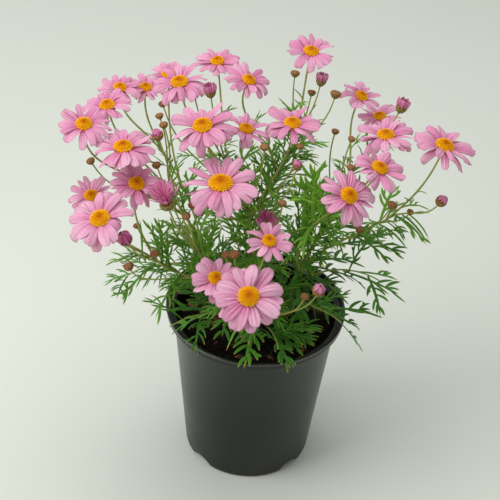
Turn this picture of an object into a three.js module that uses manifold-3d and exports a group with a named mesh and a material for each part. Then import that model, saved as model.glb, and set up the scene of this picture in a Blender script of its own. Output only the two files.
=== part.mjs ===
// A pink marguerite daisy in a black nursery pot, in millimetres, +Z up.
// The pot stands on z = 0 with its axis on the Z axis, and the viewer stands on the -Y side.
import * as THREE from 'three';
import { mergeVertices } from 'three/addons/utils/BufferGeometryUtils.js';
import Module from 'manifold-3d';

const wasm = await Module();
wasm.setup();

// Driving dimensions of the pot, the potting mix and the clearance between touching pieces
const clearance = 0.3;
const pot = {
  rimRadius: 70,
  bandRadius: 69.2,
  wallTopRadius: 63.9,
  wallLowRadius: 51.4,
  footRadius: 50.8,
  baseRadius: 49.9,
  height: 141.3,
  bandHeight: 6.3,
  beadHeight: 1.5,
  beadRound: 0.4,
  curveHeight: 6,
  footHeight: 1.2,
  wall: 1.2,
  floor: 2.2,
  sides: 28,
};
const drain = { count: 4, radius: 12.5, drop: 6, inner: 44, outer: 60, sides: 24 };
const soil = {
  top: 122,
  swell: 2.6,
  ripple: 1.1,
  rootDepth: 26,
  rise: 0.6,
  shoulderDrop: 1.5,
  shoulder: 5,
  flat: 36,
  crown: 15,
  slack: 0.08,
  holeOver: 14,
};

// Driving dimensions of what grows
const stub = { radius: 2.6, sides: 8, overlap: 3 };
const limb = { mainSteps: 6, mainSides: 5, sideSteps: 4, sideSides: 4 };
const stalk = { foot: 0.95, tip: 0.75, steps: 3, sides: 4, outward: 0.2, arrive: 0.45, highest: 0.96 };
const budStalk = { foot: 0.75, tip: 0.65, steps: 2 };
const petal = {
  thickness: 0.7,
  layerStep: 0.35,
  hub: 0.3,
  halfWidth: 0.185,
  shoulder: 0.86,
  upperLift: 4,
  lowerLift: -2,
};
const disc = { radius: 0.31, height: 0.15, sides: 8, least: 1 };
const cup = { radius: 0.24, depth: 4.5, foot: 0.6, footDepth: 0.8 };
const bud = { stalkDepth: 0.45, lean: 0.4, leanHeight: 100 };
const blade = {
  thickness: 0.7,
  rib: 0.95,
  lobe: 0.27,
  spread: 40,
  firstLobe: 0.3,
  lobeStretch: 0.5,
  lobeBase: 3.4,
  lobeReach: 2,
  fold: 0.3,
};

// A small repeatable chance, so that every build grows the same plant
let chanceState = 20817;
function chance() {
  chanceState = (chanceState * 16807) % 2147483647;
  return chanceState / 2147483647;
}
const between = (low, high) => low + (high - low) * chance();
const radians = THREE.MathUtils.degToRad;
const vector = (list) => new THREE.Vector3(...list);

// Solids: three.js geometry in, manifold solid out, and back to a named mesh
function solid(geometry) {
  const bare = geometry.index ? geometry.toNonIndexed() : geometry.clone();
  bare.deleteAttribute('normal');
  bare.deleteAttribute('uv');
  const merged = mergeVertices(bare, 1e-4);
  const corners = merged.index.array;
  const kept = [];
  for (let i = 0; i < corners.length; i += 3) {
    const [a, b, c] = corners.slice(i, i + 3);
    if (a !== b && b !== c && c !== a) {
      kept.push(a, b, c);
    }
  }
  const vertProperties = new Float32Array(merged.attributes.position.array);
  const triVerts = new Uint32Array(kept);
  return new wasm.Manifold(new wasm.Mesh({ numProp: 3, vertProperties, triVerts }));
}

const joinTolerance = 0.05;
function join(solids) {
  let rest = solids;
  while (rest.length > 1) {
    const next = [];
    for (let i = 0; i < rest.length; i += 2) {
      next.push(i + 1 < rest.length ? rest[i].add(rest[i + 1]) : rest[i]);
    }
    rest = next;
  }
  return rest[0].simplify(joinTolerance);
}

function node(name, body, { color, roughness, metalness = 0 }) {
  const { vertProperties, triVerts } = body.getMesh();
  const geometry = new THREE.BufferGeometry();
  geometry.setAttribute('position', new THREE.BufferAttribute(vertProperties, 3));
  geometry.setIndex(new THREE.BufferAttribute(triVerts, 1));
  geometry.computeVertexNormals();
  const finish = new THREE.MeshStandardMaterial({ color, roughness, metalness });
  const mesh = new THREE.Mesh(geometry, finish);
  mesh.name = name;
  return mesh;
}

function surface(points, faces) {
  const geometry = new THREE.BufferGeometry();
  geometry.setAttribute('position', new THREE.Float32BufferAttribute(points.flat(), 3));
  geometry.setIndex(faces.flat());
  return geometry;
}

const finishes = {
  plastic: { color: 0x2b2d28, roughness: 0.42 },
  soil: { color: 0x1f1712, roughness: 1 },
  leaf: { color: 0x3f7a35, roughness: 0.6 },
  petal: { color: 0xdf86bd, roughness: 0.55 },
  floret: { color: 0xf0a312, roughness: 0.8 },
};

// The pot: a thin turned wall, stepped out into a banded and beaded rim, on a foot with four arched
// drain slots
function turned(profile) {
  const outline = profile.map(([r, z]) => new THREE.Vector2(r, z));
  return new THREE.LatheGeometry(outline, pot.sides).rotateX(Math.PI / 2);
}

const bandFoot = pot.height - pot.bandHeight;
function innerRadius(z) {
  const low = pot.wallLowRadius - pot.wall;
  const high = pot.wallTopRadius - pot.wall;
  return low + ((high - low) * (z - pot.curveHeight)) / (bandFoot - pot.curveHeight);
}

const innerFootRadius = pot.footRadius - pot.wall;
function makePot() {
  const ledge = bandFoot + pot.wall;
  const beadFoot = pot.height - pot.beadHeight;
  const body = solid(turned([
    [0, 0],
    [pot.baseRadius, 0],
    [pot.footRadius, pot.footHeight],
    [pot.wallLowRadius, pot.curveHeight],
    [pot.wallTopRadius, bandFoot],
    [pot.bandRadius, bandFoot],
    [pot.bandRadius, beadFoot - pot.beadRound],
    [pot.rimRadius, beadFoot],
    [pot.rimRadius, pot.height - pot.beadRound],
    [pot.bandRadius, pot.height],
    [pot.bandRadius - pot.wall, pot.height],
    [pot.bandRadius - pot.wall, ledge],
    [innerRadius(bandFoot), ledge],
    [innerRadius(pot.curveHeight), pot.curveHeight],
    [innerFootRadius, pot.floor],
    [0, pot.floor],
  ]));
  const length = drain.outer - drain.inner;
  const slots = [];
  for (let i = 0; i < drain.count; i += 1) {
    const arch = new THREE.CylinderGeometry(drain.radius, drain.radius, length, drain.sides)
      .rotateZ(Math.PI / 2)
      .translate(drain.inner + length / 2, 0, -drain.drop)
      .rotateZ(((i + 0.5) * 2 * Math.PI) / drain.count);
    slots.push(solid(arch));
  }
  return body.subtract(join(slots));
}

// The potting mix: a rippled plug that fills the pot, with a plain hole for each leafy stem
function soilRipple(x, y) {
  return soil.ripple * Math.sin(x * 0.31 + 1) * Math.cos(y * 0.27);
}

function makeSoil(roots) {
  const skin = clearance + soil.slack;
  const body = turned([
    [0, pot.floor + clearance],
    [innerFootRadius - skin, pot.floor + clearance],
    [innerRadius(pot.curveHeight) - skin, pot.curveHeight],
    [innerRadius(soil.top) - skin, soil.top - soil.shoulderDrop],
    [innerRadius(soil.top) - soil.shoulder, soil.top + soil.rise],
    [soil.flat, soil.top + soil.rise],
    [soil.crown, soil.top + soil.swell],
    [0, soil.top + soil.swell],
  ]);
  const points = body.attributes.position;
  for (let i = 0; i < points.count; i += 1) {
    const [x, y, z] = [points.getX(i), points.getY(i), points.getZ(i)];
    if (z > soil.top && Math.hypot(x, y) > 1) {
      points.setZ(i, z + soilRipple(x, y));
    }
  }
  const holeFoot = soil.top - soil.rootDepth - clearance;
  const holeHeight = soil.rootDepth + soil.holeOver;
  const holes = roots.map((root) => solid(pin(root, stub.radius + clearance, holeFoot, holeHeight)));
  return solid(body).subtract(join(holes));
}

function pin([x, y], radius, foot, height) {
  return new THREE.CylinderGeometry(radius, radius, height, stub.sides)
    .rotateX(Math.PI / 2)
    .translate(x, y, foot + height / 2);
}

// Limbs and stalks: a many-sided ring swept along a curve, with its own radius at each station
function sweep(rings, sides) {
  const points = [];
  const faces = [];
  const side = new THREE.Vector3(0.3, 1, 0.1);
  rings.forEach(({ place, along, radius }, k) => {
    side.addScaledVector(along, -side.dot(along)).normalize();
    const up = along.clone().cross(side);
    for (let i = 0; i < sides; i += 1) {
      const angle = (i * 2 * Math.PI) / sides;
      const corner = place.clone();
      corner.addScaledVector(side, radius * Math.cos(angle)).addScaledVector(up, radius * Math.sin(angle));
      points.push(corner.toArray());
      const [a, b] = [k * sides + i, k * sides + ((i + 1) % sides)];
      if (k + 1 < rings.length) {
        faces.push([a, b, a + sides], [a + sides, b, b + sides]);
      }
    }
  });
  const last = (rings.length - 1) * sides;
  for (let i = 1; i + 1 < sides; i += 1) {
    faces.push([0, i + 1, i], [last, last + i, last + i + 1]);
  }
  return solid(surface(points, faces));
}

function curveRings(curve, foot, tip, steps) {
  return Array.from({ length: steps + 1 }, (_, i) => {
    const share = i / steps;
    return {
      place: curve.getPointAt(share),
      along: curve.getTangentAt(share),
      radius: foot + (tip - foot) * share,
    };
  });
}

function limbCurves(limbs) {
  const main = {
    curve: new THREE.CubicBezierCurve3(...limbs[0].points.map(vector)),
    steps: limb.mainSteps,
    sides: limb.mainSides,
  };
  const sideLimbs = limbs.slice(1).map(({ from, points }) => ({
    curve: new THREE.CubicBezierCurve3(pointOn(main, from), ...points.map(vector)),
    steps: limb.sideSteps,
    sides: limb.sideSides,
  }));
  return [main, ...sideLimbs];
}

// A place on the axis of a limb as built, which runs straight from ring to ring
function pointOn({ curve, steps }, share) {
  const ring = Math.min(Math.floor(share * steps), steps - 1);
  return curve.getPointAt(ring / steps).lerp(curve.getPointAt((ring + 1) / steps), share * steps - ring);
}

function flowerStalkCurve(from, share, tip, facing) {
  const foot = pointOn(from, Math.min(share, stalk.highest));
  const reach = foot.distanceTo(tip);
  const outward = tip.clone().sub(foot).multiplyScalar(stalk.outward);
  const onward = from.curve.getTangentAt(share).multiplyScalar(reach * stalk.outward);
  const leave = onward.add(outward).add(foot);
  const arrive = facing.clone().multiplyScalar(-reach * stalk.arrive).add(tip);
  return new THREE.CubicBezierCurve3(foot, leave, arrive, tip);
}

// A frame whose Z axis is the way that a bloom, bud or leaf faces
function facingVector([turn, lift]) {
  const level = Math.cos(radians(lift));
  const [x, y] = [level * Math.cos(radians(turn)), level * Math.sin(radians(turn))];
  return new THREE.Vector3(x, y, Math.sin(radians(lift)));
}

function standOn(place, facing) {
  const side = new THREE.Vector3(0, 1, 0).cross(facing).normalize();
  const up = facing.clone().cross(side);
  return new THREE.Matrix4().makeBasis(side, up, facing).setPosition(place);
}

// Ray florets: two layers of petals, each petal a thin plate, grown from one shared hub
function makeRays(head) {
  const radius = head.across / 2;
  const hub = petal.hub * radius;
  const count = head.petals / 2;
  const points = [];
  const faces = [];
  const polar = (r, angle, z) => points.push([r * Math.cos(angle), r * Math.sin(angle), z]) - 1;
  const rings = [];
  for (const layer of [0, 1]) {
    const level = layer * (petal.thickness + petal.layerStep);
    const turn = (i) => ((i + layer / 2) * 2 * Math.PI) / count;
    const top = [];
    const under = [];
    for (let i = 0; i < count; i += 1) {
      const corner = turn(i - 0.5);
      top.push(polar(hub, corner, level));
      under.push(polar(hub, corner, level - petal.thickness));
    }
    for (let i = 0; i < count; i += 1) {
      const next = (i + 1) % count;
      const lift = layer ? petal.upperLift : petal.lowerLift;
      const pitch = radians(head.cup + lift + between(-1.5, 1.5));
      const length = (radius - hub) * between(0.9, 1);
      const width = petal.halfWidth * radius * between(0.9, 1.08);
      const bend = turn(i) + between(-0.05, 0.05);
      const tip = (along, across, sunk) => {
        const r = hub + along * length * Math.cos(pitch) + sunk * Math.sin(pitch);
        const z = level + along * length * Math.sin(pitch) - sunk * Math.cos(pitch);
        const x = r * Math.cos(bend) - across * Math.sin(bend);
        const y = r * Math.sin(bend) + across * Math.cos(bend);
        return points.push([x, y, z]) - 1;
      };
      const edge = (sunk) => [
        tip(petal.shoulder, -width, sunk),
        tip(1, 0, sunk),
        tip(petal.shoulder, width, sunk),
      ];
      const a = [top[i], ...edge(0), top[next]];
      const b = [under[i], ...edge(petal.thickness), under[next]];
      faces.push([a[0], a[1], a[3]], [a[0], a[3], a[4]], [a[1], a[2], a[3]]);
      faces.push([b[0], b[3], b[1]], [b[0], b[4], b[3]], [b[1], b[3], b[2]]);
      for (let k = 0; k < 4; k += 1) {
        faces.push([b[k], b[k + 1], a[k]], [a[k], b[k + 1], a[k + 1]]);
      }
    }
    rings.push({ top, under });
  }
  const [low, high] = rings;
  for (let i = 0; i < count; i += 1) {
    const next = (i + 1) % count;
    faces.push([low.top[i], low.top[next], high.under[i]]);
    faces.push([high.under[i], low.top[next], high.under[next]]);
    if (i > 0 && next > 0) {
      faces.push([low.under[0], low.under[next], low.under[i]]);
      faces.push([high.top[0], high.top[i], high.top[next]]);
    }
  }
  return solid(surface(points, faces).applyMatrix4(standOn(vector(head.at), facingVector(head.faces))));
}

// Disc florets: a low dome whose rim and crown stand up in bumps
function makeDisc(head) {
  const radius = head.across / 2;
  const foot = petal.thickness + petal.layerStep + clearance;
  const dome = disc.height * radius + disc.least;
  const bumps = [
    { r: disc.radius * radius, z: foot, lift: 0 },
    { r: disc.radius * radius * 0.96, z: foot + dome * 0.62, lift: 0.35 },
    { r: disc.radius * radius * 0.5, z: foot + dome, lift: -0.3 },
  ];
  const points = [];
  for (const { r, z, lift } of bumps) {
    for (let i = 0; i < disc.sides; i += 1) {
      const angle = (i * 2 * Math.PI) / disc.sides;
      points.push([r * Math.cos(angle), r * Math.sin(angle), z + (i % 2 ? lift : -lift)]);
    }
  }
  const crown = points.push([0, 0, foot + dome * 0.86]) - 1;
  const faces = [];
  for (let i = 0; i < disc.sides; i += 1) {
    const next = (i + 1) % disc.sides;
    for (const ring of [0, disc.sides]) {
      faces.push([ring + i, ring + next, ring + disc.sides + i]);
      faces.push([ring + disc.sides + i, ring + next, ring + disc.sides + next]);
    }
    faces.push([2 * disc.sides + i, 2 * disc.sides + next, crown]);
    if (i > 0 && next > 0) {
      faces.push([0, next, i]);
    }
  }
  return solid(surface(points, faces).applyMatrix4(standOn(vector(head.at), facingVector(head.faces))));
}

// The green cup of bracts under a bloom, and the bud at the end of its stalk, in three stages
function cupRings(head) {
  const facing = facingVector(head.faces);
  const top = -petal.thickness - clearance;
  const radius = cup.radius * (head.across / 2);
  const foot = [top - cup.depth * cup.footDepth, radius * cup.foot];
  return [foot, [top, radius]].map(([z, r]) => (
    { place: vector(head.at).addScaledVector(facing, z), along: facing, radius: r }
  ));
}

const budShapes = {
  closed: [[0.42, -0.25], [0.5, 0.05], [0.16, 0.42]],
  showing: [[0.4, -0.3], [0.5, 0.1], [0.15, 0.62]],
  opening: [[0.36, -0.35], [0.42, 0.05], [0.5, 0.75]],
};

function budRings({ at, across, stage }) {
  const facing = budFacing(at);
  return budShapes[stage].map(([r, z]) => (
    { place: vector(at).addScaledVector(facing, z * across), along: facing, radius: r * across }
  ));
}

function budFacing([x, y]) {
  return new THREE.Vector3(x * bud.lean, y * bud.lean, bud.leanHeight).normalize();
}

// Leaves: a narrow rib with pairs of slender lobes, arched as one thin plate
function leafLobes(leaf) {
  const lobes = [];
  const reach = leaf.length * blade.lobe;
  const lean = radians(blade.spread);
  for (let i = 0; i < leaf.pairs; i += 1) {
    const x = leaf.length * (blade.firstLobe + (blade.lobeStretch * i) / leaf.pairs);
    const size = reach * (1 - 0.14 * Math.abs(i - 0.6));
    const tip = x + blade.lobeReach + size * Math.cos(lean);
    const wide = blade.rib + size * Math.sin(lean);
    lobes.push({ x, front: x + blade.lobeBase, tip, wide });
  }
  return lobes;
}

function leafArch(leaf, x) {
  return leaf.rise * x - (leaf.droop * x * x) / leaf.length;
}

function leafShape(leaf) {
  const arch = (x, y) => leafArch(leaf, x) + Math.abs(y) * blade.fold;
  const points = [];
  const put = (x, y) => {
    const top = points.push([x, y, arch(x, y)]) - 1;
    points.push([x, y, arch(x, y) - blade.thickness]);
    return top;
  };
  const faces = [];
  const plate = (a, b, c) => faces.push([a, b, c], [a + 1, c + 1, b + 1]);
  const wall = (a, b) => faces.push([a, a + 1, b], [b, a + 1, b + 1]);
  let left = put(0, 0);
  let right = left;
  for (const { x, front, tip, wide } of leafLobes(leaf)) {
    const rearLeft = put(x, blade.rib);
    const rearRight = put(x, -blade.rib);
    const frontLeft = put(front, blade.rib);
    const frontRight = put(front, -blade.rib);
    const tipLeft = put(tip, wide);
    const tipRight = put(tip, -wide);
    if (left !== right) {
      plate(left, right, rearRight);
    }
    plate(left, rearRight, rearLeft);
    plate(rearLeft, rearRight, frontRight);
    plate(rearLeft, frontRight, frontLeft);
    plate(rearLeft, frontLeft, tipLeft);
    plate(rearRight, tipRight, frontRight);
    wall(rearLeft, left);
    wall(tipLeft, rearLeft);
    wall(frontLeft, tipLeft);
    wall(right, rearRight);
    wall(rearRight, tipRight);
    wall(tipRight, frontRight);
    left = frontLeft;
    right = frontRight;
  }
  const end = put(leaf.length, 0);
  plate(left, right, end);
  wall(end, left);
  wall(right, end);
  return { points, faces };
}

function leafFrame(leaf) {
  const side = new THREE.Vector3(0, 0, 1).cross(leaf.forward).normalize();
  const up = leaf.forward.clone().cross(side);
  return new THREE.Matrix4().makeBasis(leaf.forward, side, up).setPosition(leaf.at);
}

// What is already there, kept as small balls in a grid, so that a new leaf can keep clear of it
const cell = 8;
const occupied = new Map();
const cellKey = (x, y, z) => `${Math.floor(x / cell)},${Math.floor(y / cell)},${Math.floor(z / cell)}`;

function occupy(place, radius) {
  const key = cellKey(place.x, place.y, place.z);
  if (!occupied.has(key)) {
    occupied.set(key, []);
  }
  occupied.get(key).push({ place, radius });
}

function isClear(place, radius) {
  for (const dx of [-cell, 0, cell]) {
    for (const dy of [-cell, 0, cell]) {
      for (const dz of [-cell, 0, cell]) {
        const near = occupied.get(cellKey(place.x + dx, place.y + dy, place.z + dz)) ?? [];
        if (near.some((ball) => ball.place.distanceTo(place) < ball.radius + radius)) {
          return false;
        }
      }
    }
  }
  return true;
}

function occupyCurve(curve, radius) {
  const steps = Math.ceil(curve.getLength() / 2.5);
  curve.getSpacedPoints(steps).forEach((place) => occupy(place, radius + 1));
}

const room = { rings: 6, bloom: 3, steepest: 60, leaf: 1.3, bareFoot: 7, alongLeaf: 10, steepLeaf: 0.93 };
const lowestLeaf = { overMix: soil.top + 6, outside: 60 };
const rimRoom = { above: 2, inside: 7, outside: 3 };

function occupyBloom(head) {
  const frame = standOn(vector(head.at), facingVector(head.faces));
  const slope = Math.tan(radians(Math.min(head.cup, room.steepest)));
  for (let ring = 1; ring <= room.rings; ring += 1) {
    const r = (ring / room.rings) * (head.across / 2) * Math.cos(radians(head.cup));
    for (let i = 0; i < 4 * ring; i += 1) {
      const angle = (i * 2 * Math.PI) / (4 * ring);
      const place = new THREE.Vector3(r * Math.cos(angle), r * Math.sin(angle), r * slope);
      occupy(place.applyMatrix4(frame), room.bloom);
    }
  }
}

function leafSamples(leaf, frame) {
  const { points } = leafShape(leaf);
  const along = [];
  for (let i = 1; i <= room.alongLeaf; i += 1) {
    const x = (leaf.length * i) / room.alongLeaf;
    along.push([x, 0, leafArch(leaf, x)]);
  }
  return [...along, ...points].map((p) => vector(p).applyMatrix4(frame));
}

function insidePot(place) {
  return Math.hypot(place.x, place.y) < pot.rimRadius;
}

function leafMayPass(place) {
  const outside = Math.hypot(place.x, place.y) - pot.rimRadius;
  const floor = insidePot(place) ? lowestLeaf.overMix : lowestLeaf.outside;
  const aboveRim = place.z > pot.height + rimRoom.above;
  const besideRim = outside < -rimRoom.inside || outside > rimRoom.outside;
  return place.z > floor && (aboveRim || besideRim) && isClear(place, room.leaf);
}

// A leaf leaves its limb forwards and outwards, and tries other turns and arches until it has room
const leafTurns = { attempts: 36, step: radians(50), forward: 0.55, upward: 0.15, rise: 0.35, droop: 0.4 };
const leafDrops = [0, 0.35, -0.3, 0.7].map((drop) => drop * leafTurns.droop);
function growLeaf(from, share, turn, length, pairs) {
  const at = pointOn(from, share);
  const tangent = from.curve.getTangentAt(share);
  const side = new THREE.Vector3(0, 1, 0.2).cross(tangent).normalize();
  for (let attempt = 0; attempt < leafTurns.attempts; attempt += 1) {
    const drop = leafDrops[attempt % leafDrops.length];
    const forward = side.clone().applyAxisAngle(tangent, turn + attempt * leafTurns.step);
    forward.addScaledVector(tangent, leafTurns.forward);
    forward.z += leafTurns.upward;
    const leaf = {
      at,
      length,
      pairs,
      forward: forward.normalize(),
      rise: leafTurns.rise - drop,
      droop: leafTurns.droop + drop,
    };
    const frame = leafFrame(leaf);
    const samples = leafSamples(leaf, frame).filter((place) => place.distanceTo(at) > room.bareFoot);
    if (Math.abs(leaf.forward.z) < room.steepLeaf && samples.every(leafMayPass)) {
      samples.forEach((place) => occupy(place, room.leaf));
      const { points, faces } = leafShape(leaf);
      return solid(surface(points, faces).applyMatrix4(frame));
    }
  }
  return null;
}

// The leafy stems. Each has a root place, a main limb and side limbs as Bezier points, with foot and
// tip radius and a number of leaves. A side limb leaves the main one, and a head's stalk leaves a limb,
// at the share of its length that from gives.
const leafyStems = {
  left: {
    root: [-20, 4],
    limbs: [
      { points: [[-20, 4, 122], [-22, 5, 152], [-44, 10, 190], [-70, 16, 232]],
        radii: [2.4, 1.4], leaves: 4 },
      { from: 0.42, points: [[-58, 2, 176], [-84, -10, 186], [-100, -16, 172]],
        radii: [1.3, 0.8], leaves: 3 },
      { from: 0.6, points: [[-52, 26, 215], [-66, 40, 230], [-80, 50, 246]], radii: [1.4, 1.1], leaves: 2 },
    ],
    blooms: [
      { at: [-128, -15, 304], across: 39, faces: [281, 75], petals: 12, cup: 4, from: [0, 0.9] },
      { at: [-116, 20, 299], across: 37, faces: [236, 75], petals: 12, cup: 6, from: [0, 1] },
      { at: [-112, 59, 291], across: 33, faces: [277, 79], petals: 12, cup: 6, from: [2, 1] },
      { at: [-94, 70, 286], across: 32, faces: [304, 83], petals: 12, cup: 8, from: [2, 0.9] },
      { at: [-99, -29, 296], across: 44, faces: [236, 85], petals: 14, cup: 2, from: [0, 0.75] },
      { at: [-79, 95, 284], across: 34, faces: [265, 83], petals: 12, cup: 8, from: [2, 0.6] },
    ],
    buds: [
      { at: [-125, -10, 272], across: 6, stage: 'closed', from: [0, 0.8] },
      { at: [-78, 10, 301], across: 5.5, stage: 'closed', from: [0, 0.95] },
      { at: [-74, 0, 300], across: 6, stage: 'closed', from: [0, 0.95] },
    ],
  },
  front_left: {
    root: [-14, -15],
    limbs: [
      { points: [[-14, -15, 122], [-16, -17, 155], [-28, -28, 190], [-46, -42, 222]],
        radii: [2.3, 1.3], leaves: 4 },
      { from: 0.5, points: [[-38, -34, 188], [-58, -46, 200], [-78, -52, 222]],
        radii: [1.6, 1.1], leaves: 3 },
      { from: 0.2, points: [[-32, -34, 160], [-48, -50, 170], [-62, -62, 166]],
        radii: [1.4, 0.8], leaves: 3 },
    ],
    blooms: [
      { at: [-89, -41, 275], across: 37, faces: [297, 66], petals: 12, cup: 4, from: [1, 0.9] },
      { at: [-122, -30, 254], across: 35, faces: [281, 72], petals: 12, cup: 4, from: [1, 0.7] },
      { at: [-109, -75, 268], across: 46, faces: [244, 68], petals: 14, cup: 0, from: [1, 1] },
      { at: [-66, -61, 276], across: 36, faces: [198, 72], petals: 12, cup: 55,
        closed: true, from: [0, 0.95] },
    ],
    buds: [
      { at: [-93, -75, 254], across: 10, stage: 'showing', from: [1, 0.8] },
      { at: [-74, -60, 231], across: 6, stage: 'closed', from: [1, 0.5] },
      { at: [-94, -45, 206], across: 7, stage: 'closed', from: [1, 0.4] },
      { at: [-49, -50, 268], across: 6, stage: 'closed', from: [0, 0.8] },
      { at: [-76, -25, 307], across: 8, stage: 'showing', from: [0, 1] },
      { at: [-77, -20, 279], across: 6, stage: 'closed', from: [0, 1] },
    ],
  },
  back: {
    root: [-2, 18],
    limbs: [
      { points: [[-2, 18, 122], [-2, 20, 160], [-14, 30, 205], [-30, 40, 245]],
        radii: [2.4, 1.4], leaves: 4 },
      { from: 0.6, points: [[2, 32, 215], [12, 40, 240], [20, 46, 262]], radii: [1.6, 1.2], leaves: 3 },
      { from: 0.18, points: [[-14, 46, 160], [-30, 66, 175], [-38, 84, 176]],
        radii: [1.4, 0.8], leaves: 3 },
      { from: 0.24, points: [[20, 44, 165], [36, 60, 180], [48, 76, 184]], radii: [1.4, 0.8], leaves: 3 },
    ],
    blooms: [
      { at: [-66, 40, 310], across: 42, faces: [236, 76], petals: 14, cup: 2, from: [0, 0.8] },
      { at: [-41, 85, 304], across: 35, faces: [230, 80], petals: 12, cup: 6, from: [0, 0.9] },
      { at: [-17, 55, 307], across: 35, faces: [334, 71], petals: 12, cup: 4, from: [1, 0.6] },
      { at: [28, 75, 323], across: 38, faces: [302, 80], petals: 12, cup: 6, from: [1, 1] },
    ],
    buds: [
      { at: [-78, 35, 296], across: 6, stage: 'closed', from: [0, 0.7] },
      { at: [-43, 20, 318], across: 9, stage: 'opening', from: [0, 1] },
      { at: [17, 50, 320], across: 6.5, stage: 'closed', from: [1, 0.95] },
      { at: [37, 60, 310], across: 8.5, stage: 'opening', from: [1, 0.9] },
      { at: [31, 65, 296], across: 6, stage: 'closed', from: [1, 0.85] },
      { at: [48, 50, 305], across: 8, stage: 'closed', from: [1, 0.8] },
    ],
  },
  front: {
    root: [4, -10],
    limbs: [
      { points: [[4, -10, 122], [4, -11, 160], [-4, -14, 200], [-10, -16, 240]],
        radii: [2.4, 1.4], leaves: 5 },
      { from: 0.15, points: [[4, -28, 152], [-2, -48, 166], [-10, -62, 188]],
        radii: [1.8, 1.2], leaves: 3 },
      { from: 0.1, points: [[10, -32, 146], [16, -54, 160], [18, -72, 160]], radii: [1.4, 0.8], leaves: 4 },
    ],
    blooms: [
      { at: [-45, -20, 312], across: 46, faces: [236, 75], petals: 14, cup: 2, from: [0, 0.95] },
      { at: [-16, 5, 296], across: 35.5, faces: [330, 80], petals: 12, cup: 5, from: [0, 1] },
      { at: [17, 10, 300], across: 40.5, faces: [258, 83], petals: 12, cup: 5, from: [0, 0.9] },
      { at: [-30, -51, 286], across: 54.5, faces: [260, 80], petals: 16, cup: 2, from: [0, 0.8] },
      { at: [5, -70, 255], across: 33.5, faces: [294, 74], petals: 12, cup: 4, from: [1, 0.85] },
      { at: [-30, -80, 227], across: 36, faces: [301, 66], petals: 12, cup: 2, from: [1, 0.95] },
      { at: [-6, -100, 230], across: 49.5, faces: [268, 58], petals: 16, cup: -2, from: [1, 0.75] },
    ],
    buds: [
      { at: [-2, -25, 303], across: 6, stage: 'closed', from: [0, 1] },
      { at: [21, -40, 300], across: 6.5, stage: 'showing', from: [0, 0.75] },
      { at: [3, -41, 247], across: 14, stage: 'opening', from: [0, 0.6] },
      { at: [-24, -55, 230], across: 6, stage: 'closed', from: [1, 1] },
      { at: [-18, -60, 235], across: 7, stage: 'closed', from: [1, 1] },
      { at: [42, -80, 224], across: 9, stage: 'showing', from: [1, 0.5] },
    ],
  },
  right: {
    root: [20, 5],
    limbs: [
      { points: [[20, 5, 122], [22, 3, 155], [34, -2, 195], [52, -6, 232]], radii: [2.5, 1.4], leaves: 4 },
      { from: 0.5, points: [[24, -14, 210], [30, -26, 235], [46, -38, 260]], radii: [2, 1.4], leaves: 2 },
      { from: 0.6, points: [[46, 14, 210], [60, 30, 232], [68, 42, 250]], radii: [1.5, 1.1], leaves: 2 },
      { from: 0.55, points: [[48, -4, 205], [70, -8, 220], [98, -8, 242]], radii: [1.5, 1], leaves: 3 },
      { from: 0.3, points: [[44, 6, 178], [70, 2, 186], [94, 0, 172]], radii: [1.4, 0.8], leaves: 4 },
      { from: 0.22, points: [[36, -16, 160], [50, -32, 168], [64, -44, 166]],
        radii: [1.4, 0.8], leaves: 3 },
    ],
    blooms: [
      { at: [69, 80, 285], across: 33.5, faces: [329, 71], petals: 12, cup: 5, from: [2, 0.8] },
      { at: [86, 85, 265], across: 34, faces: [220, 82], petals: 12, cup: 10, from: [2, 0.9] },
      { at: [84, 10, 295], across: 42, faces: [251, 85], petals: 14, cup: 4, from: [0, 1] },
      { at: [77, -35, 297], across: 39, faces: [332, 71], petals: 12, cup: 4, from: [1, 0.8] },
      { at: [56, -60, 290], across: 42, faces: [311, 60], petals: 14, cup: 0, from: [1, 1] },
      { at: [124, -5, 299], across: 45, faces: [319, 76], petals: 14, cup: 4, from: [3, 0.9] },
    ],
    buds: [
      { at: [97, 45, 301], across: 9.5, stage: 'opening', from: [2, 1] },
      { at: [59, -25, 291], across: 5.5, stage: 'closed', from: [0, 0.95] },
      { at: [92, -20, 258], across: 7, stage: 'closed', from: [3, 0.7] },
      { at: [126, -20, 264], across: 8, stage: 'showing', from: [3, 1] },
      { at: [72, -10, 227], across: 6, stage: 'closed', from: [0, 0.8] },
    ],
  },
};

// Stems, stalks, cups and buds first, so that every leaf can then keep clear of all of them
function growStem({ root, limbs, blooms, buds }) {
  const built = limbCurves(limbs);
  const rootFoot = soil.top - soil.rootDepth;
  const solids = [solid(pin(root, stub.radius, rootFoot, soil.rootDepth + stub.overlap))];
  built.forEach(({ curve, steps, sides }, i) => {
    solids.push(sweep(curveRings(curve, ...limbs[i].radii, steps), sides));
    occupyCurve(curve, limbs[i].radii[0]);
  });
  for (const head of blooms) {
    const facing = facingVector(head.faces);
    const tip = vector(head.at).addScaledVector(facing, -petal.thickness - clearance - cup.depth);
    const curve = flowerStalkCurve(built[head.from[0]], head.from[1], tip, facing);
    const rings = curveRings(curve, stalk.foot, stalk.tip, stalk.steps);
    solids.push(sweep([...rings, ...cupRings(head)], stalk.sides));
    occupyCurve(curve, stalk.foot);
    occupyBloom(head);
  }
  for (const head of buds) {
    const facing = budFacing(head.at);
    const tip = vector(head.at).addScaledVector(facing, -head.across * bud.stalkDepth);
    const curve = flowerStalkCurve(built[head.from[0]], head.from[1], tip, facing);
    const rings = curveRings(curve, budStalk.foot, budStalk.tip, budStalk.steps);
    solids.push(sweep([...rings, ...budRings(head)], stalk.sides));
    occupyCurve(curve, budStalk.foot);
    occupy(vector(head.at), head.across * 0.6);
  }
  return { built, solids };
}

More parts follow.
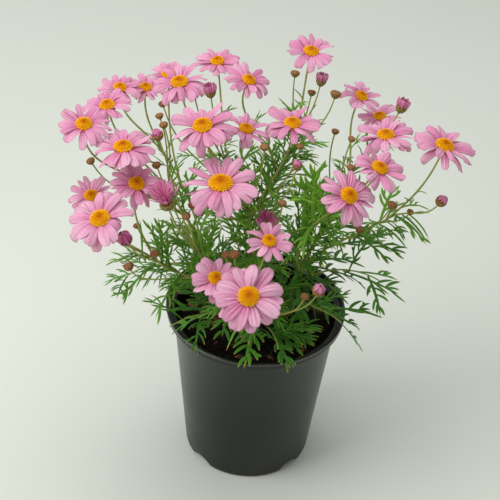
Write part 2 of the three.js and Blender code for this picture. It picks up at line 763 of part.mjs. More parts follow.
const leafRow = { first: 0.16, spread: 0.8, mainLength: 46, sideLength: 40, taper: 0.25 };
const nextLeafTurn = radians(137.5);
function growLeaves({ limbs }, { built, solids }) {
  limbs.forEach(({ leaves }, i) => {
    for (let k = 0; k < leaves; k += 1) {
      const share = leafRow.first + (leafRow.spread * (k + 0.5)) / leaves;
      const full = i ? leafRow.sideLength : leafRow.mainLength;
      const length = full * between(0.85, 1.15) * (1 - leafRow.taper * share);
      const leaf = growLeaf(built[i], share, k * nextLeafTurn + i, length, i || k % 2 ? 2 : 3);
      if (leaf) {
        solids.push(leaf);
      }
    }
  });
}

const plant = new THREE.Group();
plant.add(node('pot', makePot(), finishes.plastic));
plant.add(node('potting_mix', makeSoil(Object.values(leafyStems).map((stem) => stem.root)), finishes.soil));

const grown = Object.entries(leafyStems).map(([name, stem]) => ({ name, stem, green: growStem(stem) }));
grown.forEach(({ stem, green }) => growLeaves(stem, green));
for (const { name, stem, green } of grown) {
  plant.add(node(`leafy_stem_${name}`, join(green.solids), finishes.leaf));
  stem.blooms.forEach((head, i) => {
    plant.add(node(`rays_${name}_${i + 1}`, makeRays(head), finishes.petal));
    if (!head.closed) {
      plant.add(node(`disc_${name}_${i + 1}`, makeDisc(head), finishes.floret));
    }
  });
}

export default plant;
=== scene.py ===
import bisect
import itertools
import math
import random

import bpy
from mathutils import Matrix, Vector, noise


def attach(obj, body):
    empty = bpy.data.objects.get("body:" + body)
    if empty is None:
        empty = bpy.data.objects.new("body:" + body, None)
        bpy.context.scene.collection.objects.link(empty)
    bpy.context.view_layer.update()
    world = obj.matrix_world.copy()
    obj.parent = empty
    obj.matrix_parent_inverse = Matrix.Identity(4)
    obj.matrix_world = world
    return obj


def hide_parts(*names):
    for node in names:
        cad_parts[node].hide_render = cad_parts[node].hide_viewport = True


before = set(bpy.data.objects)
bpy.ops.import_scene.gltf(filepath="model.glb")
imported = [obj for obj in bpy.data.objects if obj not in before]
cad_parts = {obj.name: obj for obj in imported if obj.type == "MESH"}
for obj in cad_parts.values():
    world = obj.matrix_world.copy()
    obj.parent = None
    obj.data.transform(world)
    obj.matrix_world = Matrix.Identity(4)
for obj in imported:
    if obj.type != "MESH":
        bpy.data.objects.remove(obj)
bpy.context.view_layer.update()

mm = 0.001
pot_height = 141.3
rim_radius = 70
band_radius = 69.2
band_foot = 135
wall_top_radius = 63.9
wall_low_radius = 51.4
foot_radius = 50.8
base_radius = 49.9
curve_height = 6
wall = 1.2
floor_thickness = 2.2
pot_sides = 192


def arithmetic(operation, number_first=False):
    """An operator between wires and numbers, or its form for a number on the left."""
    def work(wire, other):
        return wire.sum(operation, *((other, wire) if number_first else (wire, other)))
    return work


class Wire:
    """The output of a node, on which arithmetic is written as on a plain number."""

    def __init__(self, plan, socket):
        self.plan = plan
        self.socket = socket

    def twin(self, label):
        """Another output of the same node."""
        return Wire(self.plan, self.plan.pick(self.socket.node.outputs, label))

    def sum(self, operation, *values):
        return self.plan.node("ShaderNodeMath", *values, operation=operation)

    __add__, __radd__ = arithmetic("ADD"), arithmetic("ADD", True)
    __sub__, __rsub__ = arithmetic("SUBTRACT"), arithmetic("SUBTRACT", True)
    __mul__, __rmul__ = arithmetic("MULTIPLY"), arithmetic("MULTIPLY", True)
    __truediv__, __rtruediv__ = arithmetic("DIVIDE"), arithmetic("DIVIDE", True)
    __pow__, low, high = arithmetic("POWER"), arithmetic("MINIMUM"), arithmetic("MAXIMUM")

    def __neg__(self):
        return 0.0 - self

    def __abs__(self):
        return self.sum("ABSOLUTE", self)

    def between(self, start, end):
        """Rises evenly from 0 at start to 1 at end."""
        return self.plan.node(
            "ShaderNodeMapRange", clamp=True, Value=self, From_Min=start, From_Max=end
        )


def paint(red, green, blue):
    """A colour given as a paint chart gives it, from 0 to 255."""
    def share(value):
        part = value / 255
        return part / 12.92 if part <= 0.04045 else ((part + 0.055) / 1.055) ** 2.4
    return (share(red), share(green), share(blue), 1.0)


class Plan:
    """A node tree, of a finish or of a shape, built one node at a time."""

    def __init__(self, tree):
        self.tree = tree

    @staticmethod
    def pick(sockets, label):
        if isinstance(label, int):
            return sockets[label]
        return next(socket for socket in sockets if socket.name == label and socket.enabled)

    def node(self, kind, *inputs, output=0, **given):
        """One node. What is given in small letters is a setting, and the rest are its sockets."""
        made = self.tree.nodes.new(kind)
        sockets = dict(enumerate(inputs))
        for label, value in given.items():
            if label == "stops":
                self.fill_ramp(made.color_ramp, value)
            elif label.islower():
                setattr(made, label, value)
            else:
                sockets[label.replace("_", " ")] = value
        for label, value in sockets.items():
            target = self.pick(made.inputs, label)
            if isinstance(value, Wire):
                self.tree.links.new(value.socket, target)
            else:
                target.default_value = value
        return Wire(self, self.pick(made.outputs, output)) if made.outputs else None

    @staticmethod
    def fill_ramp(ramp, stops):
        while len(ramp.elements) < len(stops):
            ramp.elements.new(1)
        for element, (place, chart) in zip(ramp.elements, stops):
            element.position = place
            element.color = paint(*chart)

    def point(self, x=0.0, y=0.0, z=0.0):
        return self.node("ShaderNodeCombineXYZ", x, y, z)


class Finish(Plan):
    """The plan of a material; even holds what is the same all over it."""

    def __init__(self, name, **even):
        self.material = bpy.data.materials.new(name)
        self.material.use_nodes = True
        super().__init__(self.material.node_tree)
        self.shader = self.tree.nodes["Principled BSDF"]
        for label, value in even.items():
            self.shader.inputs[label.replace("_", " ")].default_value = value
        self.spot = self.node("ShaderNodeTexCoord", output="Object")
        self.height = self.node("ShaderNodeSeparateXYZ", self.spot, output="Z")

    def speckle(self, size, detail=2.0, stretch=None):
        """Soft noise from 0 to 1 whose blots are size millimetres wide."""
        place = self.spot
        if stretch:
            place = self.node("ShaderNodeMapping", Vector=place, Scale=stretch)
        return self.node("ShaderNodeTexNoise", Vector=place, Scale=1 / (size * mm), Detail=detail)

    def tint(self, share, first, second):
        """A colour that goes from first to second as share goes from 0 to 1."""
        first, second = (part if isinstance(part, Wire) else paint(*part) for part in (first, second))
        return self.node(
            "ShaderNodeMix", data_type="RGBA", Factor=share, A=first, B=second, output="Result"
        )

    def coats(self, colour, *coats):
        """A colour under thin coats of other paints, each with the share that it covers."""
        for share, chart in coats:
            colour = self.tint(share, colour, chart)
        return colour

    def lay_on(self, **wires):
        for label, wire in wires.items():
            self.tree.links.new(wire.socket, self.shader.inputs[label.replace("_", " ")])

    def relief(self, height, depth):
        """Raises the surface by height, a wire from 0 to 1, times depth in millimetres."""
        return self.node("ShaderNodeBump", Height=height, Distance=depth * mm)


class Form(Plan):
    """The plan of a shape, with a named input for each of its sizes."""

    def __init__(self, name, **sizes):
        super().__init__(bpy.data.node_groups.new(name, "GeometryNodeTree"))
        kinds = {int: "NodeSocketInt", float: "NodeSocketFloat"}
        self.add_input("Geometry", "NodeSocketGeometry")
        for label, value in sizes.items():
            self.add_input(label.replace("_", " "), kinds[type(value)]).default_value = value
        self.add_input("Finish", "NodeSocketMaterial")
        self.tree.interface.new_socket(
            "Geometry", in_out="OUTPUT", socket_type="NodeSocketGeometry"
        )
        self.source = self.node("NodeGroupInput")

    def add_input(self, label, kind):
        return self.tree.interface.new_socket(label, in_out="INPUT", socket_type=kind)

    def __getitem__(self, label):
        """The wire of one of its sizes, or of the mesh that it starts from."""
        return self.source.twin(label)

    def close(self, shape):
        """Ends the tree: its instances made real, and its finish on them."""
        real = self.node("GeometryNodeRealizeInstances", shape)
        done = self.node("GeometryNodeSetMaterial", Geometry=real, Material=self["Finish"])
        self.node("NodeGroupOutput", done)


def put_in(name, data):
    """A new object of the scene, at its origin."""
    piece = bpy.data.objects.new(name, data)
    bpy.context.scene.collection.objects.link(piece)
    return piece


def grow(name, start, form, finish, **sizes):
    """Runs a geometry tree on the mesh start, and returns what it makes as a plain piece."""
    piece = put_in(name, start)
    modifier = piece.modifiers.new(form.tree.name, "NODES")
    modifier.node_group = form.tree
    given = {label.replace("_", " "): value for label, value in sizes.items()}
    given["Finish"] = finish.material
    for item in form.tree.interface.items_tree:
        if item.in_out == "INPUT" and item.name in given:
            modifier[item.identifier] = given[item.name]
    evaluated = piece.evaluated_get(bpy.context.evaluated_depsgraph_get())
    made = bpy.data.meshes.new_from_object(evaluated)
    piece.modifiers.clear()
    piece.data = made
    made.name = name
    return piece


def settle(piece, slot, *solids, crease=50):
    """Sets a finished piece down in metres, on the plant's one body, for the solids it stands for."""
    piece.data.transform(Matrix.Scale(mm, 4))
    piece.data.set_sharp_from_angle(angle=math.radians(crease))
    piece.data.update()
    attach(piece, "root")
    if solids:
        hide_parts(*solids)


def turn_on_lathe(profile, sides):
    """A closed shell from (radius, height) points that start and end on the axis."""
    places = []
    rings = []
    for radius, height in profile:
        count = sides if radius else 1
        rings.append(range(len(places), len(places) + count))
        for i in range(count):
            angle = i * math.tau / sides
            places.append((radius * math.cos(angle), radius * math.sin(angle), height))
    faces = []
    for low, high in zip(rings, rings[1:]):
        for i in range(sides):
            j = (i + 1) % sides
            corners = [low[i % len(low)], low[j % len(low)], high[j % len(high)], high[i % len(high)]]
            faces.append(list(dict.fromkeys(corners)))
    return places, faces


def smooth_mesh(name, places, faces):
    mesh = bpy.data.meshes.new(name)
    mesh.from_pydata(places, [], faces)
    mesh.shade_smooth()
    return mesh


def inner_radius(height):
    share = (height - curve_height) / (band_foot - curve_height)
    return wall_low_radius - wall + (wall_top_radius - wall_low_radius) * share


inner_band_radius = band_radius - wall
pot_profile = [
    (0, 0), (base_radius - 0.5, 0), (base_radius, 0.1), (base_radius + 0.5, 0.5), (foot_radius, 1.2),
    (51.1, 3), (wall_low_radius, curve_height), (57.6, 70),
    (wall_top_radius - 0.05, band_foot - 0.7), (wall_top_radius + 0.15, band_foot - 0.25),
    (wall_top_radius + 0.6, band_foot), (band_radius - 0.5, band_foot),
    (band_radius - 0.1, band_foot + 0.15), (band_radius, band_foot + 0.5),
    (band_radius, band_foot + 3), (band_radius, 139), (69.4, 139.2),
    (69.8, 139.4), (rim_radius, 139.8), (rim_radius, 140.6), (69.8, 141), (69.4, 141.25),
    (69, pot_height), (68.5, pot_height), (68.1, 141.15), (inner_band_radius, 140.7),
    (inner_band_radius, band_foot + 2), (67.7, band_foot + 1.45), (67.1, band_foot + wall),
    (inner_radius(band_foot) + 0.6, band_foot + wall), (inner_radius(band_foot) + 0.1, band_foot + 0.9),
    (inner_radius(band_foot), band_foot), (inner_radius(70), 70),
    (inner_radius(curve_height), curve_height), (foot_radius - wall, floor_thickness + 0.6),
    (foot_radius - wall - 0.5, floor_thickness), (0, floor_thickness),
]
drain = Form("Drain slots", Slots=4, Slot_radius=12.5, Slot_drop=6.0, Slot_length=16.0, Slot_place=52.0)
ring = drain.node("GeometryNodeMeshCircle", Vertices=drain["Slots"], Radius=drain["Slot place"])
core = drain.node(
    "GeometryNodeMeshCylinder", Vertices=96, Radius=drain["Slot radius"], Depth=drain["Slot length"]
)
core = drain.node("GeometryNodeTransform", Geometry=core, Rotation=(0.0, math.pi / 2, 0.0))
turn = drain.node("GeometryNodeInputIndex") * math.tau / drain["Slots"]
cores = drain.node(
    "GeometryNodeInstanceOnPoints", Points=ring, Instance=core, Rotation=drain.point(z=turn)
)
cores = drain.node(
    "GeometryNodeTransform", Geometry=drain.node("GeometryNodeRealizeInstances", cores),
    Translation=drain.point(z=-drain["Slot drop"]), Rotation=(0.0, 0.0, math.radians(45)),
)
drain.close(drain.node(
    "GeometryNodeMeshBoolean", operation="DIFFERENCE", Mesh_1=drain["Geometry"], Mesh_2=cores
))

satin_black = Finish("satin_black_plastic", Specular_IOR_Level=0.4, Coat_Roughness=0.1)
cloud = satin_black.speckle(24, 3.0)
grain = satin_black.speckle(0.5)
scuff = satin_black.speckle(1.6, 4.0, (1.0, 1.0, 0.12)).between(0.6, 0.78)
dust = satin_black.height.between(0.04, 0.0) * cloud.between(0.35, 0.75)
lip = satin_black.height.between(0.1385, 0.1395)
plain = satin_black.tint(cloud, (9, 14, 9), (15, 21, 14))
satin_black.lay_on(
    Base_Color=satin_black.coats(plain, (dust * 0.2, (84, 80, 68)), (scuff * 0.06, (80, 83, 77))),
    Roughness=0.28 + cloud * 0.06 + dust * 0.25 + scuff * 0.08 - lip * 0.16,
    Coat_Weight=0.05 + lip * 0.8,
    Normal=satin_black.relief(grain * 0.6 + cloud * 2.0, 0.02),
)
pot_blank = smooth_mesh("pot_blank", *turn_on_lathe(pot_profile, pot_sides))
settle(grow("pot_shell", pot_blank, drain, satin_black), "pot_plastic", "pot", crease=35)

# The potting mix. A dark plug of peat and composted bark that fills the pot to a finger's
# width below its rim, crumbly on top, with loose chips of brown bark lying in it.
mix_top = 122
mix_swell = 2.6
mix_ripple = 1.1
crown_radius = 36
crown_slope = 21
edge_width = 5
edge_drop = 2.1
open_radius = 55.5
clearance = 0.3
wall_gap = 0.38
mix_rings = 46
mix_sides = 150


def mix_height(x, y):
    """How high the mix stands at a place, rippled and crumbly, and lowest at the pot's wall."""
    radius = math.hypot(x, y)
    crown = min(1, max(0, (crown_radius - radius) / crown_slope))
    edge = min(1, max(0, (radius - (inner_radius(mix_top) - edge_width)) / edge_width))
    level = mix_top + 0.6 + (mix_swell - 0.6) * crown - edge_drop * edge
    ripple = mix_ripple * math.sin(x * 0.31 + 1) * math.cos(y * 0.27)
    place = Vector((x, y, 0))
    crumb = 1.3 * noise.noise(place / 5) + 0.8 * noise.noise(place / 2) + 0.5 * noise.noise(place)
    return level + ripple + crumb * (1 - 0.7 * edge)


mix_foot = floor_thickness + clearance
mix_radius = inner_radius(mix_top) - wall_gap
mix_profile = [
    (0, mix_foot), (foot_radius - wall - wall_gap - 0.5, mix_foot),
    (inner_radius(curve_height) - wall_gap, curve_height), (inner_radius(80) - wall_gap, 80),
    (mix_radius, mix_top - 1.5),
]
mix_profile += [(mix_radius * (1 - i / mix_rings), mix_top) for i in range(1, mix_rings)]
mix_profile.append((0, mix_top))
places, faces = turn_on_lathe(mix_profile, mix_sides)
places = [(x, y, mix_height(x, y) if z == mix_top else z) for x, y, z in places]
mix_plug = put_in("potting_mix_plug", smooth_mesh("potting_mix_plug", places, faces))

strewn = Form(
    "Bark and crumbs", Chips_a_square_cm=1.3, Crumbs_a_square_cm=18.0, Chip_length=3.7,
    Crumb_size=0.75, Rough=0.9, Seed=4,
)
upward = strewn.node("ShaderNodeSeparateXYZ", strewn.node("GeometryNodeInputNormal"), output="Z")
here = strewn.node("GeometryNodeInputPosition")
apart = strewn.node("ShaderNodeSeparateXYZ", here)
reach = (apart * apart + apart.twin("Y") * apart.twin("Y")) ** 0.5
open_top = apart.twin("Z").between(mix_top - 4.0, mix_top - 3.0)
open_top = open_top * (open_radius - reach).between(0.0, 0.1) * upward.between(0.2, 0.3)


def by_chance(form, low, high, seed, kind="FLOAT"):
    """A figure, or three, drawn anew for each copy."""
    return form.node(
        "FunctionNodeRandomValue", data_type=kind, Min=low, Max=high, Seed=seed, output="Value"
    )


def vectors(form, operation, *values, **named):
    return form.node("ShaderNodeVectorMath", *values, operation=operation, output="Vector", **named)


def joined(form, *shapes):
    together = form.node("GeometryNodeJoinGeometry")
    for shape in shapes:
        form.tree.links.new(shape.socket, together.socket.node.inputs[0])
    return together


def store(form, shape, label, value, domain="POINT"):
    """Writes a figure on every point or copy of a shape."""
    return form.node(
        "GeometryNodeStoreNamedAttribute", data_type="FLOAT", domain=domain,
        Geometry=shape, Name=label, Value=value,
    )


tone = by_chance(strewn, 0.0, 1.0, 9)
layers = []
for label, size, flatten, facets, seed_step, share in (
    ("Chips a square cm", "Chip length", 0.8, 2, 0, 1.0),
    ("Crumbs a square cm", "Crumb size", 1.4, 1, 20, 0.55),
):
    spread = strewn.node(
        "GeometryNodeDistributePointsOnFaces", output="Points", Mesh=strewn["Geometry"],
        Selection=open_top, Density=strewn[label] / 100.0, Seed=strewn["Seed"] + seed_step,
    )
    turn = by_chance(strewn, (-0.5, -0.5, 0.0), (0.5, 0.5, math.tau), 2 + seed_step, "FLOAT_VECTOR")
    stretch = by_chance(strewn, (0.5, 0.3, 0.25 * flatten), (1.6, 0.8, 0.6 * flatten), 3 + seed_step,
                        "FLOAT_VECTOR")
    lump = strewn.node("GeometryNodeMeshIcoSphere", Radius=1.0, Subdivisions=facets)
    lumps = strewn.node(
        "GeometryNodeInstanceOnPoints", Points=spread, Instance=lump, Rotation=turn,
        Scale=vectors(strewn, "SCALE", stretch, Scale=strewn[size]),
    )
    layers.append(store(strewn, lumps, "tone", tone * share, "INSTANCE"))
lumps = strewn.node("GeometryNodeRealizeInstances", joined(strewn, *layers))
jitter = strewn.node("ShaderNodeTexNoise", Vector=here, Scale=0.8, Detail=1.0, output="Color")
jitter = vectors(strewn, "SUBTRACT", jitter, (0.5, 0.5, 0.45))
jitter = vectors(strewn, "SCALE", jitter, Scale=strewn["Rough"] * 2.0)
strewn.close(strewn.node("GeometryNodeSetPosition", Geometry=lumps, Offset=jitter))

peat = Finish("dark_peat", Specular_IOR_Level=0.2)
blot = peat.speckle(3, 4.0)
fibre = peat.speckle(0.6, 3.0)
damp = peat.tint(blot.between(0.3, 0.7), (10, 9, 8), (30, 23, 17))
peat.lay_on(
    Base_Color=peat.tint(fibre.between(0.62, 0.8) * 0.35, damp, (58, 38, 25)),
    Roughness=0.75 + fibre * 0.25,
    Normal=peat.relief(blot + fibre * 0.5, 0.8),
)
mix_plug.data.materials.append(peat.material)


def figures(plan, *labels, kind="FLOAT"):
    """The wires of figures that a card, or a tree, has left on the mesh."""
    if isinstance(plan, Form):
        return [plan.node("GeometryNodeInputNamedAttribute", data_type=kind, Name=label,
                          output="Attribute") for label in labels]
    return [plan.node("ShaderNodeAttribute", attribute_name=label, output="Fac") for label in labels]


bark = Finish("composted_bark", Specular_IOR_Level=0.25)
[tone] = figures(bark, "tone")
layers = bark.speckle(1.2, 3.0, (1.0, 1.0, 4.0))
chip_colour = bark.node(
    "ShaderNodeValToRGB", Fac=tone, output="Color",
    stops=((0.0, (16, 14, 11)), (0.5, (40, 31, 21)), (0.78, (94, 62, 40)), (1.0, (178, 122, 82))),
)
bark.lay_on(
    Base_Color=bark.tint(layers.between(0.4, 0.7) * 0.5, chip_colour, (30, 20, 15)),
    Roughness=0.7 + layers * 0.25,
    Normal=bark.relief(layers, 0.4),
)
bark_chips = grow("bark_chips", mix_plug.data, strewn, bark)
settle(mix_plug, "potting_mix", "potting_mix", crease=80)
settle(bark_chips, "potting_mix", crease=20)

# The leafy stems. Five grew side by side from the crown, each with a main limb, side limbs
# and a thin, ridged stalk to every flower head and bud. They are green where young, and
# olive brown and woody low down, and they stand rooted in the mix.
root_depth = 20
stalk_radii = (0.85, 0.66)
bud_stalk_radii = (0.68, 0.52)
root_radii = (2.6, 2.5)
limb_slimness = 0.6
main_limb_extra = 0.14
main_ages, side_ages = (0.95, 0.1), (0.4, 0.05)
stalk_ages, bud_stalk_ages = (0.55, 0.3), (0.5, 0.2)
limb_steps, stalk_steps, bud_stalk_steps = 22, 18, 12
main_rings, side_rings, stalk_rings = 6, 4, 3
stalk_highest = 0.96
stalk_leave = 0.2
stalk_arrive = 0.45
petal_thickness = 0.7
cup_depth = 4.5
bud_lean = 0.4
bud_seat = 0.4
# A limb: the share of the first limb where it forks, its curve, its end radii and its leaves.
# A bloom: where it is, how wide, the turn and lift of its face, its petals, how far they are
# cupped, its limb and the share of it where its stalk leaves. A bud: where it is, how wide, its
# stage, its limb and share.
leafy_stems = {
    "left": dict(
        root=(-20, 4),
        limbs=[
            (None, [(-20, 4, 122), (-22, 5, 152), (-44, 10, 190), (-70, 16, 232)], (2.4, 1.4), 4),
            (0.42, [(-58, 2, 176), (-84, -10, 186), (-100, -16, 172)], (1.3, 0.8), 3),
            (0.6, [(-52, 26, 215), (-66, 40, 230), (-80, 50, 246)], (1.4, 1.1), 2),
        ],
        blooms=[
            (-128, -15, 304, 39, 281, 75, 12, 4, 0, 0.9), (-116, 20, 299, 37, 236, 75, 12, 6, 0, 1),
            (-112, 59, 291, 33, 277, 79, 12, 6, 2, 1), (-94, 70, 286, 32, 304, 83, 12, 8, 2, 0.9),
            (-99, -29, 296, 44, 236, 85, 14, 2, 0, 0.75), (-79, 95, 284, 34, 265, 83, 12, 8, 2, 0.6),
        ],
        buds=[
            (-125, -10, 272, 6, "closed", 0, 0.8), (-78, 10, 301, 5.5, "closed", 0, 0.95),
            (-74, 0, 300, 6, "closed", 0, 0.95),
        ],
    ),
    "front_left": dict(
        root=(-14, -15),
        limbs=[
            (None, [(-14, -15, 122), (-16, -17, 155), (-28, -28, 190), (-46, -42, 222)], (2.3, 1.3), 4),
            (0.5, [(-38, -34, 188), (-58, -46, 200), (-78, -52, 222)], (1.6, 1.1), 3),
            (0.2, [(-32, -34, 160), (-48, -50, 170), (-62, -62, 166)], (1.4, 0.8), 3),
        ],
        blooms=[
            (-89, -41, 275, 37, 297, 66, 12, 4, 1, 0.9), (-122, -30, 254, 35, 281, 72, 12, 4, 1, 0.7),
            (-109, -75, 268, 46, 244, 68, 14, 0, 1, 1), (-66, -61, 276, 36, 198, 72, 12, 55, 0, 0.95),
        ],
        buds=[
            (-93, -75, 254, 10, "pointed", 1, 0.8), (-74, -60, 231, 6, "closed", 1, 0.5),
            (-94, -45, 206, 7, "closed", 1, 0.4), (-49, -50, 268, 6, "closed", 0, 0.8),
            (-76, -25, 307, 8, "showing", 0, 1), (-77, -20, 279, 6, "closed", 0, 1),
            (-90, -30, 232, 4.5, "closed", 1, 0.6), (-52, -65, 269, 5.5, "closed", 0, 0.9),
        ],
    ),
    "back": dict(
        root=(-2, 18),
        limbs=[
            (None, [(-2, 18, 122), (-2, 20, 160), (-14, 30, 205), (-30, 40, 245)], (2.4, 1.4), 4),
            (0.6, [(2, 32, 215), (12, 40, 240), (20, 46, 262)], (1.6, 1.2), 3),
            (0.18, [(-14, 46, 160), (-30, 66, 175), (-38, 84, 176)], (1.4, 0.8), 3),
            (0.24, [(20, 44, 165), (36, 60, 180), (48, 76, 184)], (1.4, 0.8), 3),
        ],
        blooms=[
            (-66, 40, 310, 42, 236, 76, 14, 2, 0, 0.8), (-41, 85, 304, 35, 230, 80, 12, 6, 0, 0.9),
            (-17, 55, 307, 35, 334, 71, 12, 4, 1, 0.6), (28, 75, 323, 38, 302, 80, 12, 6, 1, 1),
        ],
        buds=[
            (-78, 35, 296, 6, "closed", 0, 0.7), (-43, 20, 318, 9, "opening", 0, 1),
            (17, 50, 320, 6.5, "closed", 1, 0.95), (37, 60, 310, 8.5, "opening", 1, 0.9),
            (31, 65, 296, 6, "closed", 1, 0.85), (48, 50, 305, 8, "closed", 1, 0.8),
            (-56, 50, 297, 5.5, "closed", 0, 0.95),
        ],
    ),
    "front": dict(
        root=(4, -10),
        limbs=[
            (None, [(4, -10, 122), (4, -11, 160), (-4, -14, 200), (-10, -16, 240)], (2.4, 1.4), 5),
            (0.15, [(4, -28, 152), (-2, -48, 166), (-10, -62, 188)], (1.8, 1.2), 3),
            (0.1, [(10, -32, 146), (16, -54, 160), (18, -72, 160)], (1.4, 0.8), 4),
        ],
        blooms=[
            (-45, -20, 312, 46, 236, 75, 14, 2, 0, 0.95), (-16, 5, 296, 35.5, 330, 80, 12, 5, 0, 1),
            (17, 10, 300, 40.5, 258, 83, 12, 5, 0, 0.9), (-30, -51, 286, 54.5, 260, 80, 16, 2, 0, 0.8),
            (5, -70, 255, 33.5, 294, 74, 12, 4, 1, 0.85), (-30, -80, 227, 36, 301, 66, 12, 2, 1, 0.95),
            (-6, -100, 230, 49.5, 268, 58, 16, -2, 1, 0.75),
        ],
        buds=[
            (-2, -25, 303, 6, "closed", 0, 1), (21, -40, 300, 6.5, "showing", 0, 0.75),
            (3, -41, 247, 14, "bursting", 0, 0.6), (-24, -55, 230, 6, "closed", 1, 1),
            (-18, -60, 235, 7, "closed", 1, 1), (42, -80, 224, 9, "showing", 1, 0.5),
            (23, -10, 296, 5, "closed", 0, 0.85), (13, -45, 271, 5.5, "closed", 0, 0.6),
            (33, -78, 216, 5.5, "closed", 1, 0.5),
        ],
    ),
    "right": dict(
        root=(20, 5),
        limbs=[
            (None, [(20, 5, 122), (22, 3, 155), (34, -2, 195), (52, -6, 232)], (2.5, 1.4), 4),
            (0.5, [(24, -14, 210), (30, -26, 235), (46, -38, 260)], (2, 1.4), 2),
            (0.6, [(46, 14, 210), (60, 30, 232), (68, 42, 250)], (1.5, 1.1), 2),
            (0.55, [(48, -4, 205), (70, -8, 220), (98, -8, 242)], (1.5, 1), 3),
            (0.3, [(44, 6, 178), (70, 2, 186), (94, 0, 172)], (1.4, 0.8), 4),
            (0.22, [(36, -16, 160), (50, -32, 168), (64, -44, 166)], (1.4, 0.8), 3),
        ],
        blooms=[
            (69, 80, 285, 33.5, 329, 71, 12, 5, 2, 0.8), (86, 85, 265, 34, 220, 82, 12, 10, 2, 0.9),
            (84, 10, 295, 42, 251, 85, 14, 4, 0, 1), (77, -35, 297, 39, 332, 71, 12, 4, 1, 0.8),
            (56, -60, 290, 42, 311, 60, 14, 0, 1, 1), (124, -5, 299, 45, 319, 76, 14, 4, 3, 0.9),
        ],
        buds=[
            (97, 45, 301, 9.5, "opening", 2, 1), (59, -25, 291, 5.5, "closed", 0, 0.95),
            (92, -20, 258, 7, "closed", 3, 0.7), (126, -20, 264, 8, "showing", 3, 1),
            (72, -10, 227, 6, "closed", 0, 0.8), (50, 40, 279, 5.5, "closed", 2, 0.4),
            (58, -15, 308, 5, "closed", 0, 1), (107, -10, 246, 5, "closed", 3, 0.8),
        ],
    ),
}


class Run:
    """The curve that a limb or a stalk follows, walked by its own length."""

    marks = 200

    def __init__(self, corners, rings):
        self.corners = [Vector(corner) for corner in corners]
        self.rings = rings
        walked = [0.0]
        before = self.corners[0]
        for i in range(1, self.marks + 1):
            here = self.place(i / self.marks)
            walked.append(walked[-1] + (here - before).length)
            before = here
        self.walked = walked
        self.length = walked[-1]

    def place(self, time):
        a, b, c, d = self.corners
        rest = 1 - time
        return a * rest**3 + b * (3 * rest**2 * time) + c * (3 * rest * time**2) + d * time**3

    def time_at(self, share):
        target = share * self.length
        mark = min(bisect.bisect_right(self.walked, target), self.marks) - 1
        step = self.walked[mark + 1] - self.walked[mark]
        return (mark + min(1, (target - self.walked[mark]) / step)) / self.marks

    def at(self, share):
        return self.place(self.time_at(share))

    def heading(self, share):
        time = self.time_at(share)
        a, b, c, d = self.corners
        rest = 1 - time
        slope = (b - a) * rest**2 + (c - b) * (2 * rest * time) + (d - c) * time**2
        return slope.normalized()

    def joint(self, share):
        """A place on the straight-sided solid that stands for this limb."""
        ring = min(int(share * self.rings), self.rings - 1)
        start = self.at(ring / self.rings)
        return start.lerp(self.at((ring + 1) / self.rings), share * self.rings - ring)


def limb_runs(limbs):
    main = Run(limbs[0][1], main_rings)
    sides = [Run([main.joint(start), *points], side_rings) for start, points, _, _ in limbs[1:]]
    return [main, *sides]


def stalk_run(limb, share, tip, facing):
    foot = limb.joint(min(share, stalk_highest))
    reach = (tip - foot).length
    leave = foot + limb.heading(share) * (reach * stalk_leave) + (tip - foot) * stalk_leave
    return Run([foot, leave, tip - facing * (reach * stalk_arrive), tip], stalk_rings)


def facing_way(turn, lift):
    level = math.cos(math.radians(lift))
    turn = math.radians(turn)
    return Vector((level * math.cos(turn), level * math.sin(turn), math.sin(math.radians(lift))))


def bud_facing(at):
    return Vector((at[0] * bud_lean, at[1] * bud_lean, 100)).normalized()


def upright(place, x, y, z):
    """The frame that stands at a place, with its three axes given."""
    return Matrix.Translation(place) @ Matrix((x, y, z)).transposed().to_4x4()


def stand_on(place, facing):
    """Stands a flower head or bud, which is made facing up, at its place on its stalk."""
    side = Vector((0, 1, 0)).cross(facing).normalized()
    return upright(place, side, facing.cross(side), facing)


def card(name, rows):
    """A bare mesh of one point for each row, with the row's figures as its attributes."""
    mesh = bpy.data.meshes.new(name)
    mesh.from_pydata([(0, 0, 0)] * len(rows), [], [])
    for label, sample in rows[0].items():
        listed = [row[label] for row in rows]
        if isinstance(sample, Vector):
            flat = [part for vector in listed for part in vector]
            mesh.attributes.new(label, "FLOAT_VECTOR", "POINT").data.foreach_set("vector", flat)
        else:
            mesh.attributes.new(label, "FLOAT", "POINT").data.foreach_set("value", listed)
    return mesh


stalk_form = Form("Limbs and stalks", Sides=9)
path = stalk_form.node("GeometryNodeMeshToCurve", Mesh=stalk_form["Geometry"])
ring = stalk_form.node(
    "GeometryNodeCurvePrimitiveCircle", Resolution=stalk_form["Sides"], Radius=1.0
)
[girth] = figures(stalk_form, "girth")
stalk_form.close(stalk_form.node(
    "GeometryNodeCurveToMesh", Curve=path, Profile_Curve=ring, Scale=girth, Fill_Caps=True
))

stem_skin = Finish("ridged_stem_skin", Specular_IOR_Level=0.35)
[age] = figures(stem_skin, "age")
patch = stem_skin.speckle(9, 3.0)
ridge = stem_skin.speckle(0.5, 2.0, (1.0, 1.0, 0.08))
skin = stem_skin.node(
    "ShaderNodeValToRGB", Fac=age + (patch - 0.5) * 0.5, output="Color",
    stops=((0.0, (160, 180, 90)), (0.4, (168, 174, 88)), (0.75, (138, 138, 70)), (1.0, (104, 94, 54))),
)
stem_skin.lay_on(
    Base_Color=stem_skin.tint(ridge.between(0.45, 0.75) * 0.25, skin, (84, 86, 40)),
    Roughness=0.5 + ridge * 0.25,
    Normal=stem_skin.relief(ridge, 0.25),
)


